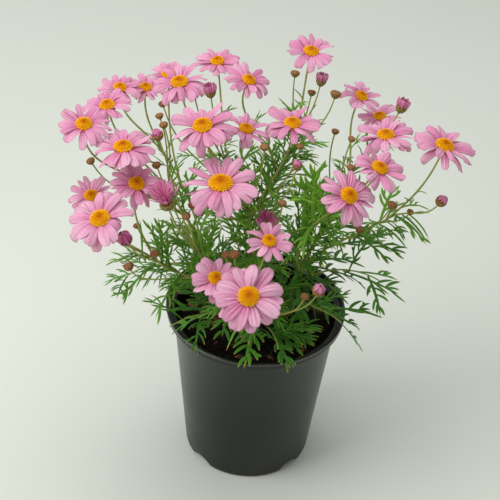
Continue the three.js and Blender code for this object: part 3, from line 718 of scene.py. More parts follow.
def trace(lines, run, steps, radii, ages, ridge_seed):
    """Adds a run to the lines of one stem, as points with their girth and age."""
    start = len(lines["places"])
    for i in range(steps + 1):
        share = i / steps
        lines["places"].append(run.at(share))
        knot = 1 + 0.07 * math.sin(ridge_seed + i * 1.7)
        lines["girth"].append((radii[0] + (radii[1] - radii[0]) * share) * knot)
        lines["age"].append(ages[0] + (ages[1] - ages[0]) * share)
    lines["edges"] += [(start + i, start + i + 1) for i in range(steps)]


for stem_name, stem in leafy_stems.items():
    lines = {"places": [], "edges": [], "girth": [], "age": []}
    runs = limb_runs(stem["limbs"])
    stem.update(runs=runs, stalks=[], heads=[], knobs=[], leaves=[])
    for i, ((_, _, radii, _), run) in enumerate(zip(stem["limbs"], runs)):
        girths = (radii[0] * (limb_slimness + main_limb_extra * (i == 0)), radii[1] * limb_slimness)
        trace(lines, run, limb_steps, girths, side_ages if i else main_ages, i)
    x, y = stem["root"]
    root = [(x, y, mix_top - root_depth + k * root_depth / 3) for k in range(4)]
    trace(lines, Run(root, 2), 3, root_radii, (1, 1), 0)
    for i, (*at, across, turn, lift, petals, cup, limb, share) in enumerate(stem["blooms"], 1):
        facing = facing_way(turn, lift)
        tip = Vector(at) - facing * (petal_thickness + clearance + cup_depth)
        stem["stalks"].append(stalk_run(runs[limb], share, tip, facing))
        trace(lines, stem["stalks"][-1], stalk_steps, stalk_radii, stalk_ages, at[0])
        stem["heads"].append((f"{stem_name}_{i}", stand_on(Vector(at), facing), across, petals, cup))
    for *at, across, stage, limb, share in stem["buds"]:
        facing = bud_facing(at)
        tip = Vector(at) - facing * (across * bud_seat)
        stem["stalks"].append(stalk_run(runs[limb], share, tip, facing))
        trace(lines, stem["stalks"][-1], bud_stalk_steps, bud_stalk_radii, bud_stalk_ages, at[0])
        stem["knobs"].append((stand_on(Vector(at), facing), across, stage))
    blank = bpy.data.meshes.new("stem_lines")
    blank.from_pydata(lines["places"], lines["edges"], [])
    for label in ("girth", "age"):
        blank.attributes.new(label, "FLOAT", "POINT").data.foreach_set("value", lines[label])
    piece = grow("stems_and_stalks_" + stem_name, blank, stalk_form, stem_skin)
    piece.data.shade_smooth()
    settle(piece, "green_growth", "leafy_stem_" + stem_name)

# The leaves. Each is one soft, fleshy blade cut to the rib into narrow lobes that point
# forward, with a few short side lobes, deep green with yellower tips. They grow by turns up
# every limb, thickest round the crown, and the lowest lean out over the rim.
rib_width = 0.95
lobe_share = 0.27
lobe_spread = math.radians(40)
lobe_first = 0.3
lobe_stretch = 0.5
lobe_base = 3.4
leaf_fold = 0.3
leaf_turn = math.radians(137.5)
other_turn = math.radians(50)
leaf_forward, leaf_upward = 0.55, 0.15
leaf_rise, leaf_droop = 0.35, 0.4
leaf_drops = (0, 0.35, -0.3, 0.7)
steepest_leaf = 0.93
main_leaf, side_leaf = 46, 40
ball_cell = 8
walk_step = 2.5
stalk_ball, bud_stalk_ball, bloom_ball = 0.95, 0.75, 3
bloom_circles = 6
steepest_cup = 60
samples_a_leaf = 10
leaf_margin = 1.3
bare_foot = 7
over_mix, over_floor = 6, 60
over_rim, inside_rim, beyond_rim = 2, 7, 3

chance_state = 20817


def chance():
    """A small repeatable chance, the same that shaped the solids."""
    global chance_state
    chance_state = (chance_state * 16807) % 2147483647
    return chance_state / 2147483647


def between(low, high):
    return low + (high - low) * chance()


occupied = {}


def cell_of(place):
    return tuple(math.floor(part / ball_cell) for part in place)


def occupy(place, radius):
    occupied.setdefault(cell_of(place), []).append((place, radius))


def is_clear(place, radius):
    near = itertools.product(*((part - 1, part, part + 1) for part in cell_of(place)))
    return not any((other - place).length < girth + radius
                   for cell in near for other, girth in occupied.get(cell, ()))


def occupy_run(run, radius):
    steps = math.ceil(run.length / walk_step)
    for i in range(steps + 1):
        occupy(run.at(i / steps), radius + 1)


def occupy_bloom(stand, across, cup):
    slope = math.tan(math.radians(min(cup, steepest_cup)))
    for circle in range(1, bloom_circles + 1):
        radius = circle / bloom_circles * across / 2 * math.cos(math.radians(cup))
        for i in range(4 * circle):
            angle = i * math.tau / (4 * circle)
            place = Vector((radius * math.cos(angle), radius * math.sin(angle), radius * slope))
            occupy(stand @ place, bloom_ball)


for stem in leafy_stems.values():
    stalks = iter(stem["stalks"])
    for (_, _, radii, _), run in zip(stem["limbs"], stem["runs"]):
        occupy_run(run, radii[0])
    for _, stand, across, _, cup in stem["heads"]:
        occupy_run(next(stalks), stalk_ball)
        occupy_bloom(stand, across, cup)
    for stand, across, _ in stem["knobs"]:
        occupy_run(next(stalks), bud_stalk_ball)
        occupy(stand.to_translation(), across * 0.6)


def leaf_frame(leaf):
    side = Vector((0, 0, 1)).cross(leaf["forward"]).normalized()
    return upright(leaf["at"], leaf["forward"], side, leaf["forward"].cross(side))


def leaf_arch(leaf, x, y=0):
    return leaf["rise"] * x - leaf["droop"] * x * x / leaf["length"] + abs(y) * leaf_fold


def lobe_places(leaf):
    """Where each pair of lobes leaves the rib, and how far it reaches forward and out."""
    for i in range(leaf["pairs"]):
        x = leaf["length"] * (leaf.get("first", lobe_first) + lobe_stretch * i / leaf["pairs"])
        size = leaf["length"] * lobe_share * (1 - 0.14 * abs(i - 0.6))
        yield x, x + 2 + size * math.cos(lobe_spread), rib_width + size * math.sin(lobe_spread)


def leaf_samples(leaf):
    frame_of_leaf = leaf_frame(leaf)
    spots = [(leaf["length"] * i / samples_a_leaf, 0) for i in range(1, samples_a_leaf + 1)]
    for x, tip, wide in lobe_places(leaf):
        for place, out in ((x, rib_width), (x + lobe_base, rib_width), (tip, wide)):
            spots += [(place, out), (place, -out)]
    return [frame_of_leaf @ Vector((x, y, leaf_arch(leaf, x, y))) for x, y in spots]


def fits(place):
    """Whether a place is above the mix, clear of the rim and clear of the floor."""
    outside = math.hypot(place.x, place.y) - rim_radius
    lowest = mix_top + over_mix if outside < 0 else over_floor
    beside = outside < -inside_rim or outside > beyond_rim
    return place.z > lowest and (beside or place.z > pot_height + over_rim)


def hang_leaf(stem, run, share, turn, length, pairs, attempts, margin):
    """Turns a leaf about its limb until it hangs free of all that is there, or gives it up."""
    at = run.joint(share)
    along = run.heading(share)
    side = Vector((0, 1, 0.2)).cross(along).normalized()
    for attempt in range(attempts):
        spin = turn + attempt * other_turn
        outward = Matrix.Rotation(spin, 3, along) @ side
        forward = (along * leaf_forward + outward + Vector((0, 0, leaf_upward))).normalized()
        drop = leaf_drops[attempt % len(leaf_drops)] * leaf_droop
        leaf = {"at": at, "length": length, "pairs": pairs, "forward": forward,
                "rise": leaf_rise - drop, "droop": leaf_droop + drop}
        if abs(forward.z) >= steepest_leaf:
            continue
        samples = [place for place in leaf_samples(leaf) if (place - at).length > bare_foot]
        if all(fits(place) and is_clear(place, margin) for place in samples):
            for place in samples:
                occupy(place, margin)
            stem["leaves"].append(leaf)
            return


for stem in leafy_stems.values():
    for i, ((_, _, _, count), run) in enumerate(zip(stem["limbs"], stem["runs"])):
        for k in range(count):
            share = 0.16 + 0.8 * (k + 0.5) / count
            length = (side_leaf if i else main_leaf) * between(0.85, 1.15) * (1 - 0.25 * share)
            pairs = 2 if i or k % 2 else 3
            hang_leaf(stem, run, share, k * leaf_turn + i, length, pairs, 36, leaf_margin)

reaching_leaves = {
    "left": [
        (1, 0.85, (-118, -18, 166), 3, 0.1), (1, 0.7, (-102, -32, 164), 2, 0.15),
        (1, 0.6, (-96, 4, 172), 2, 0.1),
    ],
    "front_left": [
        (2, 0.55, (-61, -40, 141), 3, 0.15), (2, 0.3, (-42, -42, 146), 3, 0.2),
        (2, 0.2, (-62, -24, 152), 2, 0.2), (0, 0.3, (-24, -46, 146), 2, 0.3),
    ],
    "front": [
        (1, 0.3, (-6, -78, 144), 3, 0.25), (2, 0.5, (37, -62, 149), 3, 0.15),
        (2, 0.65, (28, -78, 147), 3, 0.2), (2, 0.35, (46, -55, 152), 3, 0.15),
        (2, 0.25, (52, -40, 154), 3, 0.2), (0, 0.3, (-7, -46, 144), 2, 0.3),
        (0, 0.34, (20, -38, 146), 2, 0.3), (0, 0.36, (-17, -36, 152), 2, 0.35),
    ],
    "right": [
        (5, 0.6, (89, -12, 151), 2, 0.1), (5, 0.75, (80, -22, 142), 3, 0.15),
        (5, 0.9, (79, -34, 136), 2, 0.15), (4, 0.6, (109, 0, 161), 2, 0.1),
        (4, 0.75, (103, 14, 166), 2, 0.1), (0, 0.42, (46, -8, 146), 2, 0.4),
        (0, 0.44, (34, -24, 148), 2, 0.4), (0, 0.46, (56, -12, 146), 2, 0.35),
        (0, 0.48, (66, 5, 150), 2, 0.35), (0, 0.52, (64, 14, 164), 2, 0.35),
        (0, 0.5, (24, -12, 146), 2, 0.4), (0, 0.56, (74, 20, 174), 2, 0.3),
        (3, 0.5, (100, 16, 206), 3, 0.1), (3, 0.35, (92, 20, 196), 3, 0.1),
        (3, 0.6, (104, -20, 214), 2, 0.1), (1, 0.75, (34, -15, 286), 2, 0.2),
        (1, 0.5, (29, -15, 276), 2, 0.15), (1, 0.35, (22, -10, 264), 3, 0.1),
        (0, 0.85, (41, -2, 262), 3, 0.15), (0, 0.8, (51, 10, 242), 3, 0.15),
        (2, 0.4, (60, 8, 236), 3, 0.15), (1, 0.6, (40, -8, 270), 3, 0.15),
    ],
    "back": [(1, 0.3, (15, 10, 262), 3, 0.15), (1, 0.5, (26, 30, 272), 3, 0.15)],
}
reaching_build = {"left": 0.74, "front_left": 1.05, "back": 0.9, "front": 1.0, "right": 1.0}
for stem_name, listed in reaching_leaves.items():
    stem = leafy_stems[stem_name]
    for limb, share, tip, pairs, arch in listed:
        at = stem["runs"][limb].joint(share)
        chord = Vector(tip) - at
        leaf = {"at": at, "length": chord.length, "pairs": pairs, "forward": chord.normalized(),
                "rise": arch, "droop": arch, "first": 0.55 if pairs == 2 else lobe_first,
                "build": reaching_build[stem_name] * (1 + arch), "teeth": 0.15}
        for place in leaf_samples(leaf):
            occupy(place, 0.2)
        stem["leaves"].append(leaf)

leaf_fill = {
    "left": (24, 8, 3), "front_left": (20, 12, 0), "back": (38, 32, 6, 6), "front": (34, 3, 1),
    "right": (28, 20, 8, 4, 0, 1),
}
leafy_stalks = {"left": 2, "front_left": 2, "back": 5, "front": 5, "right": 4}
leaf_dice = random.Random(31)
for stem_name, stem in leafy_stems.items():
    for run, count in zip(stem["runs"], leaf_fill[stem_name]):
        for k in range(count):
            share = 0.04 + 0.94 * (k + leaf_dice.random()) / count
            length = leaf_dice.uniform(24, 42) * (1 - 0.3 * share)
            turn = k * leaf_turn + leaf_dice.random()
            hang_leaf(stem, run, share, turn, length, leaf_dice.choice((2, 2, 3)), 12, 0.2)
    for run in stem["stalks"]:
        for share in (0.06, 0.18, 0.3, 0.42, 0.54)[:leafy_stalks[stem_name]]:
            length = leaf_dice.uniform(18, 32) * (1.1 - share)
            turn = leaf_dice.uniform(0, 6)
            hang_leaf(stem, run, share, turn, length, leaf_dice.choice((0, 1, 2)), 8, 0.1)


def flat_blade(form, along, across):
    """One blade laid flat, its length and half width 1: a closed lens with figures for where a
    point is along it, across it, and above or below its middle."""
    grid = form.node(
        "GeometryNodeMeshGrid", Size_X=1.0, Size_Y=2.0, Vertices_X=along, Vertices_Y=across
    )
    here = form.node("ShaderNodeSeparateXYZ", form.node("GeometryNodeInputPosition"))
    reach = here + 0.5
    out = here.twin("Y")
    swell = (1.0 - out * out) * (reach * 6.0).low(1.0) * ((1.0 - reach) * 6.0).low(1.0)
    grid = store(form, store(form, grid, "along", reach), "across", out)
    upper, lower = (
        form.node("GeometryNodeSetPosition", Geometry=store(form, grid, "swell", level),
                  Position=form.point(*figures(form, "along", "across", "swell")))
        for level in (swell, -swell)
    )
    both = joined(form, upper, form.node("GeometryNodeFlipFaces", lower))
    return form.node("GeometryNodeMergeByDistance", Geometry=both, Distance=0.001)


def set_out(form, blade):
    """Sets a copy of the blade at every point of the card that the tree is given."""
    copies = form.node("GeometryNodeInstanceOnPoints", Points=form["Geometry"], Instance=blade)
    return form.node("GeometryNodeRealizeInstances", copies)


def pull(vector, amount):
    return vectors(vector.plan, "SCALE", vector, Scale=amount)


blade_form = Form("Slender blades", Point=6.0, Foot_width=0.62, Steps=7)
blades = set_out(blade_form, flat_blade(blade_form, blade_form["Steps"], 3))
along, across, swell = figures(blade_form, "along", "across", "swell")
foot, bow, tip, wide, thick = figures(
    blade_form, "foot", "bow", "tip", "wide", "thick", kind="FLOAT_VECTOR"
)
rest = 1.0 - along
rib = vectors(blade_form, "ADD", pull(bow, rest * along * 2.0), pull(tip, along * along))
rib = vectors(blade_form, "ADD", pull(foot, rest * rest), rib)
foot_width = blade_form["Foot width"]
girth = (foot_width + (1.0 - foot_width) * (along * 3.0).low(1.0)) * (
    1.0 - along ** blade_form["Point"]
).high(0.02)
section = vectors(blade_form, "ADD", pull(wide, across * girth), pull(thick, swell * girth))
formed = blade_form.node(
    "GeometryNodeSetPosition", Geometry=blades, Position=vectors(blade_form, "ADD", rib, section)
)
blade_form.close(blade_form.node("GeometryNodeSetShadeSmooth", formed))


def blade_row(foot, bow, tip, wide, thickness, tone):
    """One blade's place: its foot, bow and tip, its half width as a vector, and its thickness."""
    way = (tip - foot).cross(wide)
    if way.length < 1e-6:
        way = Vector((0, 0, 1))
    thick = way.normalized() * thickness
    return {"foot": foot, "bow": bow, "tip": tip, "wide": wide, "thick": thick, "tone": tone}


def leaf_rows(leaf, build, dice):
    """The rib and all the lobes of one leaf, as blades; build is how broad its stem's leaves are."""
    stand = leaf_frame(leaf)
    length = leaf["length"]
    tone = dice.random()
    skyward = stand.to_3x3() @ Vector((0, 0, 1))
    across = stand.to_3x3() @ Vector((0, 1, 0))

    def at(x, y, lift=0.0):
        return stand @ Vector((x, y, leaf_arch(leaf, x, y) + lift))

    half = min(1.35, 0.42 + 0.024 * length) * leaf.get("build", build)
    bow = at(length / 2, 0, leaf["droop"] * length / 4)
    rows = [blade_row(at(0, 0), bow, at(length, 0), across * half, 0.42, tone)]
    places = list(lobe_places(leaf))
    if length > 30:
        places.append((length * 0.76, length * 0.97, length * 0.08))
    for i, (x, tip_x, wide) in enumerate(places):
        for side in (1, -1):
            far = wide * dice.uniform(0.85, 1.2)
            step = side * (-1) ** i * length * 0.035 + dice.uniform(-0.6, 0.6)
            front = tip_x + step + dice.uniform(-0.5, 3)
            foot = at(x + step, 0)
            tip = at(front, side * far, dice.uniform(-1.6, 1.6))
            bow = at(x + step + (front - x - step) * 0.36, side * far * 0.7, dice.uniform(0, 0.8))
            way = (tip - foot).cross(skyward).normalized()
            lobe_half = half * dice.uniform(0.8, 1.0)
            rows.append(blade_row(foot, bow, tip, way * lobe_half, 0.4, tone))
            if far > 6 and dice.random() < leaf.get("teeth", 0.35):
                turned = side * (1 if dice.random() < 0.65 else -1)
                start = dice.uniform(0.4, 0.62)
                base = foot.lerp(bow, start).lerp(bow.lerp(tip, start), start)
                reach = far * dice.uniform(0.4, 0.62)
                end = base + ((tip - foot).normalized() * 0.85 - way * turned * 0.55) * reach
                wide_way = (end - base).cross(skyward).normalized() * lobe_half * 0.85
                rows.append(blade_row(base, base.lerp(end, 0.5), end, wide_way, 0.34, tone))
    return rows


leaf_green = Finish(
    "fleshy_leaf", Specular_IOR_Level=0.28, Subsurface_Weight=0.08, Subsurface_Scale=0.002,
    Subsurface_Radius=(0.4, 1.0, 0.2),
)
tone, along, across = figures(leaf_green, "tone", "along", "across")
patch = leaf_green.speckle(5)
pores = leaf_green.speckle(0.35)
mid_rib = (1.0 - abs(across) * 3.0).high(0.0)
# Leaves higher on the plant are painted lighter and yellower: painted light falling from above.
upper = leaf_green.height.between(0.15, 0.22)
deep = leaf_green.tint(upper, (34, 92, 28), (52, 110, 18))
fresh = leaf_green.tint(upper, (84, 148, 46), (118, 176, 48))
leaf_green.lay_on(
    Base_Color=leaf_green.coats(
        leaf_green.tint((tone * 0.7 + patch * 0.5).low(1.0), deep, fresh),
        (mid_rib * 0.3, (120, 168, 66)), (along.between(0.84, 0.98) * 0.85, (206, 190, 74)),
    ),
    Roughness=0.34 + pores * 0.2,
    Normal=leaf_green.relief(pores * 0.5 + mid_rib, 0.1),
)
leaf_build = {"left": 0.74, "front_left": 0.78, "back": 0.85, "front": 1.0, "right": 0.95}
leaf_look = random.Random(77)
for stem_name, stem in leafy_stems.items():
    build = leaf_build[stem_name]
    rows = [row for leaf in stem["leaves"] for row in leaf_rows(leaf, build, leaf_look)]
    piece = grow("leaves_" + stem_name, card("leaf_card", rows), blade_form, leaf_green)
    settle(piece, "green_growth", "leafy_stem_" + stem_name)

# The cups and buds. Under every flower head sits a green cup of small overlapping scales with
# thin brown edges, grown on the stalk's end. A bud is the same cup closed into a knob, and an
# opening one holds a square-topped tube of pink petals.
bud_stages = {  # rows of scales, how brown they are, and half the outline as shares of the width
    "closed": (4, 0.85, [(0.11, -0.52), (0.17, -0.44), (0.34, -0.28), (0.46, -0.06), (0.46, 0.1),
                         (0.32, 0.21), (0.06, 0.24)]),
    "showing": (4, 0.75, [(0.1, -0.56), (0.16, -0.48), (0.34, -0.36), (0.46, -0.16), (0.47, 0.06),
                          (0.42, 0.16), (0.05, 0.2)]),
    "pointed": (3, 0.5, [(0.1, -0.56), (0.16, -0.48), (0.34, -0.38), (0.44, -0.24), (0.42, -0.12),
                         (0.36, -0.08), (0.05, -0.06)]),
    "opening": (3, 0.45, [(0.1, -0.62), (0.16, -0.52), (0.3, -0.4), (0.4, -0.2), (0.42, 0.0),
                          (0.38, 0.08), (0.05, 0.1)]),
    "bursting": (3, 0.3, [(0.08, -0.46), (0.12, -0.42), (0.26, -0.34), (0.34, -0.2), (0.34, 0.0),
                          (0.3, 0.06), (0.05, 0.08)]),
}
cup_radius = 0.26
cup_tiers = 3
core_sides = 14


def knob_profile(kind, size):
    """Half the outline of a cup or bud, as (radius, height) with its middle at height 0."""
    if kind == "cup":
        radius = cup_radius * size / 2
        return [(0.6, -5.8), (radius * 0.5, -4.9), (radius * 0.85, -3.6), (radius, -2),
                (radius * 1.05, -0.6), (radius * 0.9, 0.4), (0.4, 0.6)]
    return [(radius * size, height * size) for radius, height in bud_stages[kind][2]]


def profile_at(profile, share):
    """The radius and height at a share of an outline."""
    step = share * (len(profile) - 1)
    i = min(int(step), len(profile) - 2)
    part = step - i
    return tuple(profile[i][k] + (profile[i + 1][k] - profile[i][k]) * part for k in (0, 1))


def scales_on(stand, kind, size, tone):
    """Overlapping pointed scales in rows up a cup or bud, as blades."""
    profile = knob_profile(kind, size)
    rows = []
    count = 9 if kind == "cup" or size > 7 else 7
    tiers = cup_tiers if kind == "cup" else bud_stages[kind][0]
    for tier in range(tiers):
        start = 0.12 + 0.7 * tier / tiers
        for k in range(count):
            angle = (k + 0.5 * (tier % 2)) * math.tau / count
            out = Vector((math.cos(angle), math.sin(angle), 0))
            side = Vector((-math.sin(angle), math.cos(angle), 0))
            spots = []
            for share, proud in ((start, 0.02), (start + 0.18, 0.3), (start + 0.36, 0.12)):
                radius, height = profile_at(profile, min(share, 1))
                spots.append(stand @ (out * (radius + proud) + Vector((0, 0, height))))
            breadth = profile_at(profile, start + 0.15)[0] * math.tau / count * 0.62
            bow = spots[1] * 2 - (spots[0] + spots[2]) / 2
            wide = (stand.to_3x3() @ side) * breadth
            browned = tone * (0.2 + tier / (tiers - 1))
            rows.append(blade_row(spots[0], bow, spots[2], wide, 0.22, browned))
    return rows


def fused(pieces):
    """Several pieces joined into the first of them."""
    with bpy.context.temp_override(active_object=pieces[0], selected_editable_objects=pieces):
        bpy.ops.object.join()
    return pieces[0]


scale_skin = Finish("papery_scales", Specular_IOR_Level=0.35)
tone, along, across = figures(scale_skin, "tone", "along", "across")
fleck = scale_skin.speckle(0.6, 3.0)
rim = abs(across).between(0.35, 0.95).high(along.between(0.55, 0.95))
scale_skin.lay_on(
    Base_Color=scale_skin.coats(
        scale_skin.tint(tone.low(1.0), (140, 152, 72), (140, 76, 38)),
        (fleck.between(0.4, 0.7) * 0.45, (100, 50, 28)),
        (along.between(0.5, 0.0) * 0.4, (84, 46, 26)),
        (rim * 0.55, (204, 150, 90)),
    ),
    Roughness=0.36 + fleck * 0.2,
    Normal=scale_skin.relief(fleck, 0.15),
)
for stem_name, stem in leafy_stems.items():
    rows, places, faces = [], [], []
    knobs = [(stand, across, "cup", 0.05) for _, stand, across, _, _ in stem["heads"]]
    knobs += [(stand, across, stage, bud_stages[stage][1]) for stand, across, stage in stem["knobs"]]
    for stand, size, kind, tone in knobs:
        rows += scales_on(stand, kind, size, tone)
        profile = knob_profile(kind, size)
        profile = [(0, profile[0][1]), *profile, (0, profile[-1][1])]
        core_places, core_faces = turn_on_lathe(profile, core_sides)
        faces += [[len(places) + corner for corner in face] for face in core_faces]
        places += [stand @ Vector(place) for place in core_places]
    scales = grow("cups_and_buds_" + stem_name, card("scale_card", rows), blade_form, scale_skin,
                  Point=2.2, Foot_width=0.8, Steps=5)
    core = put_in("core", smooth_mesh("core", places, faces))
    core.data.materials.append(scale_skin.material)
    core.data.attributes.new("tone", "FLOAT", "POINT").data.foreach_set("value", [0.3] * len(places))
    settle(fused([scales, core]), "green_growth", "leafy_stem_" + stem_name)

# The ray florets. Every head has a double ring of soft pink petals, blunt and faintly notched,
# with two lengthwise grooves, paler towards the tip, and darker mauve in the grooves and at the edges,
# painted there as shade.
# They are thin and limp, each bent its own way, and they grow from the edge of the disc.
petal_hub = 0.3
petal_layer_step = 0.63
usual_petals = 14
petals_a_petal = 1.34
half_open_extra = 14
usual_fullness = 0.137
half_open_narrowing = 0.48
half_open_cup = 50
large_bud = 8.2

ray_form = Form(
    "Ray florets", Thickness=0.3, Groove=0.4, Crown=0.3, Notch=0.022, Tip_drop=0.12,
    Root_share=0.55, Steps=12,
)
petals = set_out(ray_form, flat_blade(ray_form, ray_form["Steps"], 7))
along, across, swell, turn, pitch = figures(ray_form, "along", "across", "swell", "turn", "pitch")
hub, level, reach, half, sway = figures(ray_form, "hub", "level", "reach", "half", "sway")
crown, arch, nod, curl = figures(ray_form, "crown", "arch", "nod", "curl")
root = hub * ray_form["Root share"]
length = reach + hub - root
out = abs(across)
belly = (along / 0.66).low(1.0) * math.pi / 2
shoulder = ((along - 0.66) / 0.34).high(0.0)
breadth = half * (0.44 + 0.6 * belly.sum("SINE", belly)) * (1.0 - shoulder * shoulder * 0.2)
groove_dip = (1.0 - abs(out - 0.34) / 0.2).high(0.0)
notch_dip = (1.0 - out / 0.3).high(0.0)
tip_shape = out ** 2.4 * ray_form["Tip drop"] + notch_dip * ray_form["Notch"]
forward = length * (along - along ** 4.0 * tip_shape)
sideways = across * breadth + sway * length * along * along
groove_reach = (along * (1.15 - along) * 4.0).high(0.0).low(1.0)
cross_form = half * (
    ray_form["Crown"] * (1.0 - out * out) * crown - ray_form["Groove"] * groove_dip * groove_reach * 0.5
)
arching = length * (arch * along * (1.0 - along) - nod * along ** 3.0)
rise = cross_form + arching + curl * half * across * along + swell * ray_form["Thickness"] * 0.5
cos_pitch, sin_pitch = pitch.sum("COSINE", pitch), pitch.sum("SINE", pitch)
cos_turn, sin_turn = turn.sum("COSINE", turn), turn.sum("SINE", turn)
radial = root + forward * cos_pitch - rise * sin_pitch
formed = ray_form.node("GeometryNodeSetPosition", Geometry=petals, Position=ray_form.point(
    radial * cos_turn - sideways * sin_turn,
    radial * sin_turn + sideways * cos_turn,
    level + forward * sin_pitch + rise * cos_pitch,
))
ray_form.close(ray_form.node("GeometryNodeSetShadeSmooth", formed))

petal_pink = Finish(
    "ray_floret_pink", Specular_IOR_Level=0.25, Sheen_Weight=0.15, Sheen_Roughness=0.4,
    Subsurface_Weight=0.2, Subsurface_Scale=0.003, Subsurface_Radius=(1.0, 0.4, 0.6),
)
along, across, tone, young = figures(petal_pink, "along", "across", "tone", "young")
vein_place = petal_pink.point(along * 1.2, across * 5.0, tone * 40.0)
veins = petal_pink.node("ShaderNodeTexNoise", Vector=vein_place, Scale=2.2, Detail=3.0)
cells = petal_pink.speckle(0.25, 1.0)
# Darker mauve along the two grooves is painted shade.
groove_shade = (1.0 - abs(abs(across) - 0.34) / 0.16).high(0.0)
# Darker mauve round the margins and the tip is painted shade along the outline, where the petals meet
# and overlap.
edge_shade = abs(across).between(0.8, 0.98).high(along.between(0.94, 1.0))
petal_colour = petal_pink.coats(
    petal_pink.tint(tone, (236, 148, 188), (252, 192, 218)),
    (veins.between(0.46, 0.7) * 0.5, (206, 104, 156)),
    (groove_shade * 0.32, (184, 88, 138)),
    (along.between(0.4, 0.95) * 0.3, (253, 208, 226)),
    (along.between(0.5, 0.1) * 0.45, (204, 86, 146)),
    (petal_pink.height.between(0.26, 0.32) * 0.3, (206, 92, 148)),
    (edge_shade * 0.55, (176, 76, 132)),
)
young_colour = petal_pink.coats(
    petal_pink.tint(veins, (186, 40, 112), (226, 104, 166)),
    (abs(across).between(0.5, 0.95) * 0.85, (120, 8, 60)),
)
petal_pink.lay_on(
    Base_Color=petal_pink.tint(young, petal_colour, young_colour),
    Roughness=0.5 + cells * 0.15,
    Normal=petal_pink.relief(veins * 0.7 + cells * 0.2, 0.12),
)

petal_dice = random.Random(5)
full_heads = {
    "front_left_3": 0.165, "front_7": 0.182, "front_6": 0.155, "left_5": 0.15, "front_4": 0.132,
    "front_left_1": 0.145, "right_5": 0.145,
}
large_buds = [stand.to_translation() for stem in leafy_stems.values()
              for stand, across, _ in stem["knobs"] if across > large_bud]


def petal_rows(head, stand, across, petals, cup):
    """The petals of one head, petals_a_petal of them for each that its solid has. Those that
    would lie on a bud beside the head stay short."""
    draw = petal_dice.uniform
    radius = across / 2
    half_open = cup > half_open_cup
    hub = petal_hub * radius * (0.8 if half_open else 1)
    count = round(petals * petals_a_petal) + half_open * half_open_extra
    fullness = full_heads.get(head, usual_fullness) * (half_open_narrowing if half_open else 1)
    beside = [stand.inverted() @ bud for bud in large_buds]
    beside = [bud for bud in beside if bud.xy.length < radius and -radius < bud.z < 4]
    rows = []
    for i in range(count):
        layer = i % 2
        lift = draw(-9, 9) + (5 if layer else -3)
        turn = (i + draw(-0.28, 0.28)) * math.tau / count
        reach = (radius - hub) * draw(0.88, 1.06)
        for bud in beside:
            if Vector((math.cos(turn), math.sin(turn))).angle(bud.xy) < 0.42:
                reach *= 0.5
        rows.append(dict(
            turn=turn, pitch=math.radians(cup + lift - (3 if half_open else 0)), hub=hub,
            level=layer * petal_layer_step + draw(0, 0.4), reach=reach,
            half=radius * fullness * draw(0.88, 1.12) * (usual_petals / petals) ** 0.3,
            tone=petal_dice.random(), young=draw(0.15, 0.9) if half_open else draw(0, 0.12),
            sway=draw(-0.1, 0.1), crown=draw(-0.2, 1.6) + half_open, arch=draw(0.05, 0.5),
            nod=-0.1 if half_open else draw(-0.08, 0.28), curl=draw(-0.9, 0.9),
        ))
    return rows


for stem in leafy_stems.values():
    for head, stand, across, petals, cup in stem["heads"]:
        rows = petal_rows(head, stand, across, petals, cup)
        piece = grow("ray_florets_" + head, card("petal_card", rows), ray_form, petal_pink)
        piece.data.transform(stand)
        settle(piece, "ray_florets", "rays_" + head)

bud_dice = random.Random(12)
bud_petals = {  # count, pitch, hub, level, reach, half width, nod, how young, how loose
    "showing": (10, 88, 0.38, 0.06, 0.58, 0.13, -0.6, 0.55, 0.05),
    "pointed": (12, 84, 0.42, -0.2, 0.9, 0.13, -0.46, 1.0, 0.05),
    "opening": (14, 87, 0.42, -0.04, 0.66, 0.12, 0.02, 0.4, 0.05),
    "bursting": (26, 72, 0.3, 0.1, 0.68, 0.08, 0.0, 0.8, 0.2),
}


def bud_petal_rows(size, stage):
    """The petals that stand in a bud, upright and close, folded inwards in a young one."""
    draw = bud_dice.uniform
    count, pitch, hub, level, reach, half, nod, young, loose = bud_petals[stage]
    return [dict(
        turn=k * math.tau / count + draw(-0.1, 0.1), pitch=math.radians(pitch) + draw(-loose, loose),
        hub=size * hub * (1 - 0.16 * (k % 2)), level=size * level,
        reach=size * reach * draw(1 - 2 * loose, 1.04), half=size * half, tone=draw(0, 0.8),
        young=young * draw(0.6, 1.1), sway=draw(-0.05, 0.05), crown=-1.2, arch=-0.25, nod=nod,
        curl=draw(-0.2, 0.2),
    ) for k in range(count)]


for stem_name, stem in leafy_stems.items():
    tufts = []
    for stand, across, stage in stem["knobs"]:
        if stage != "closed":
            rows = bud_petal_rows(across, stage)
            tuft = grow("tuft", card("bud_card", rows), ray_form, petal_pink, Root_share=1.0, Steps=9)
            tuft.data.transform(stand)
            tufts.append(tuft)
    if tufts:
        piece = fused(tufts)
        piece.name = "bud_petals_" + stem_name
        settle(piece, "ray_florets")

# The disc florets. The golden eye of each head is a low dome of tiny five-lobed tubes packed in
# spirals. The outer ones stand open and pollen yellow, and the inner ones are shut and browner.
disc_radius = 0.295
dome_share = 0.15
spiral_turn = math.radians(137.508)

disc_form = Form("Disc florets", Florets=170, Disc_radius=6.0, Dome=3.0, Foot=1.35, Seed=3)
florets, radius, rise, foot = (disc_form[label] for label in ("Florets", "Disc radius", "Dome", "Foot"))
number = disc_form.node("GeometryNodeInputIndex")
share = ((number + 0.5) / florets) ** 0.5
spiral = number * spiral_turn
reach = share * radius * 0.97
crown = foot + rise * ((1.0 - share ** 2.6) * 0.62 + 0.2 - (1.0 - share / 0.34).high(0.0) * 0.16)
seat = disc_form.point(reach * spiral.sum("COSINE", spiral), reach * spiral.sum("SINE", spiral), crown)
spots = disc_form.node("GeometryNodePoints", Count=florets, Position=seat)
spots = store(disc_form, spots, "ripe", share)
tube = disc_form.node(
    "GeometryNodeMeshCone", Vertices=6, Side_Segments=2, Radius_Top=0.5, Radius_Bottom=0.3, Depth=1.1
)
vary = by_chance(disc_form, 0.8, 1.15, disc_form["Seed"])
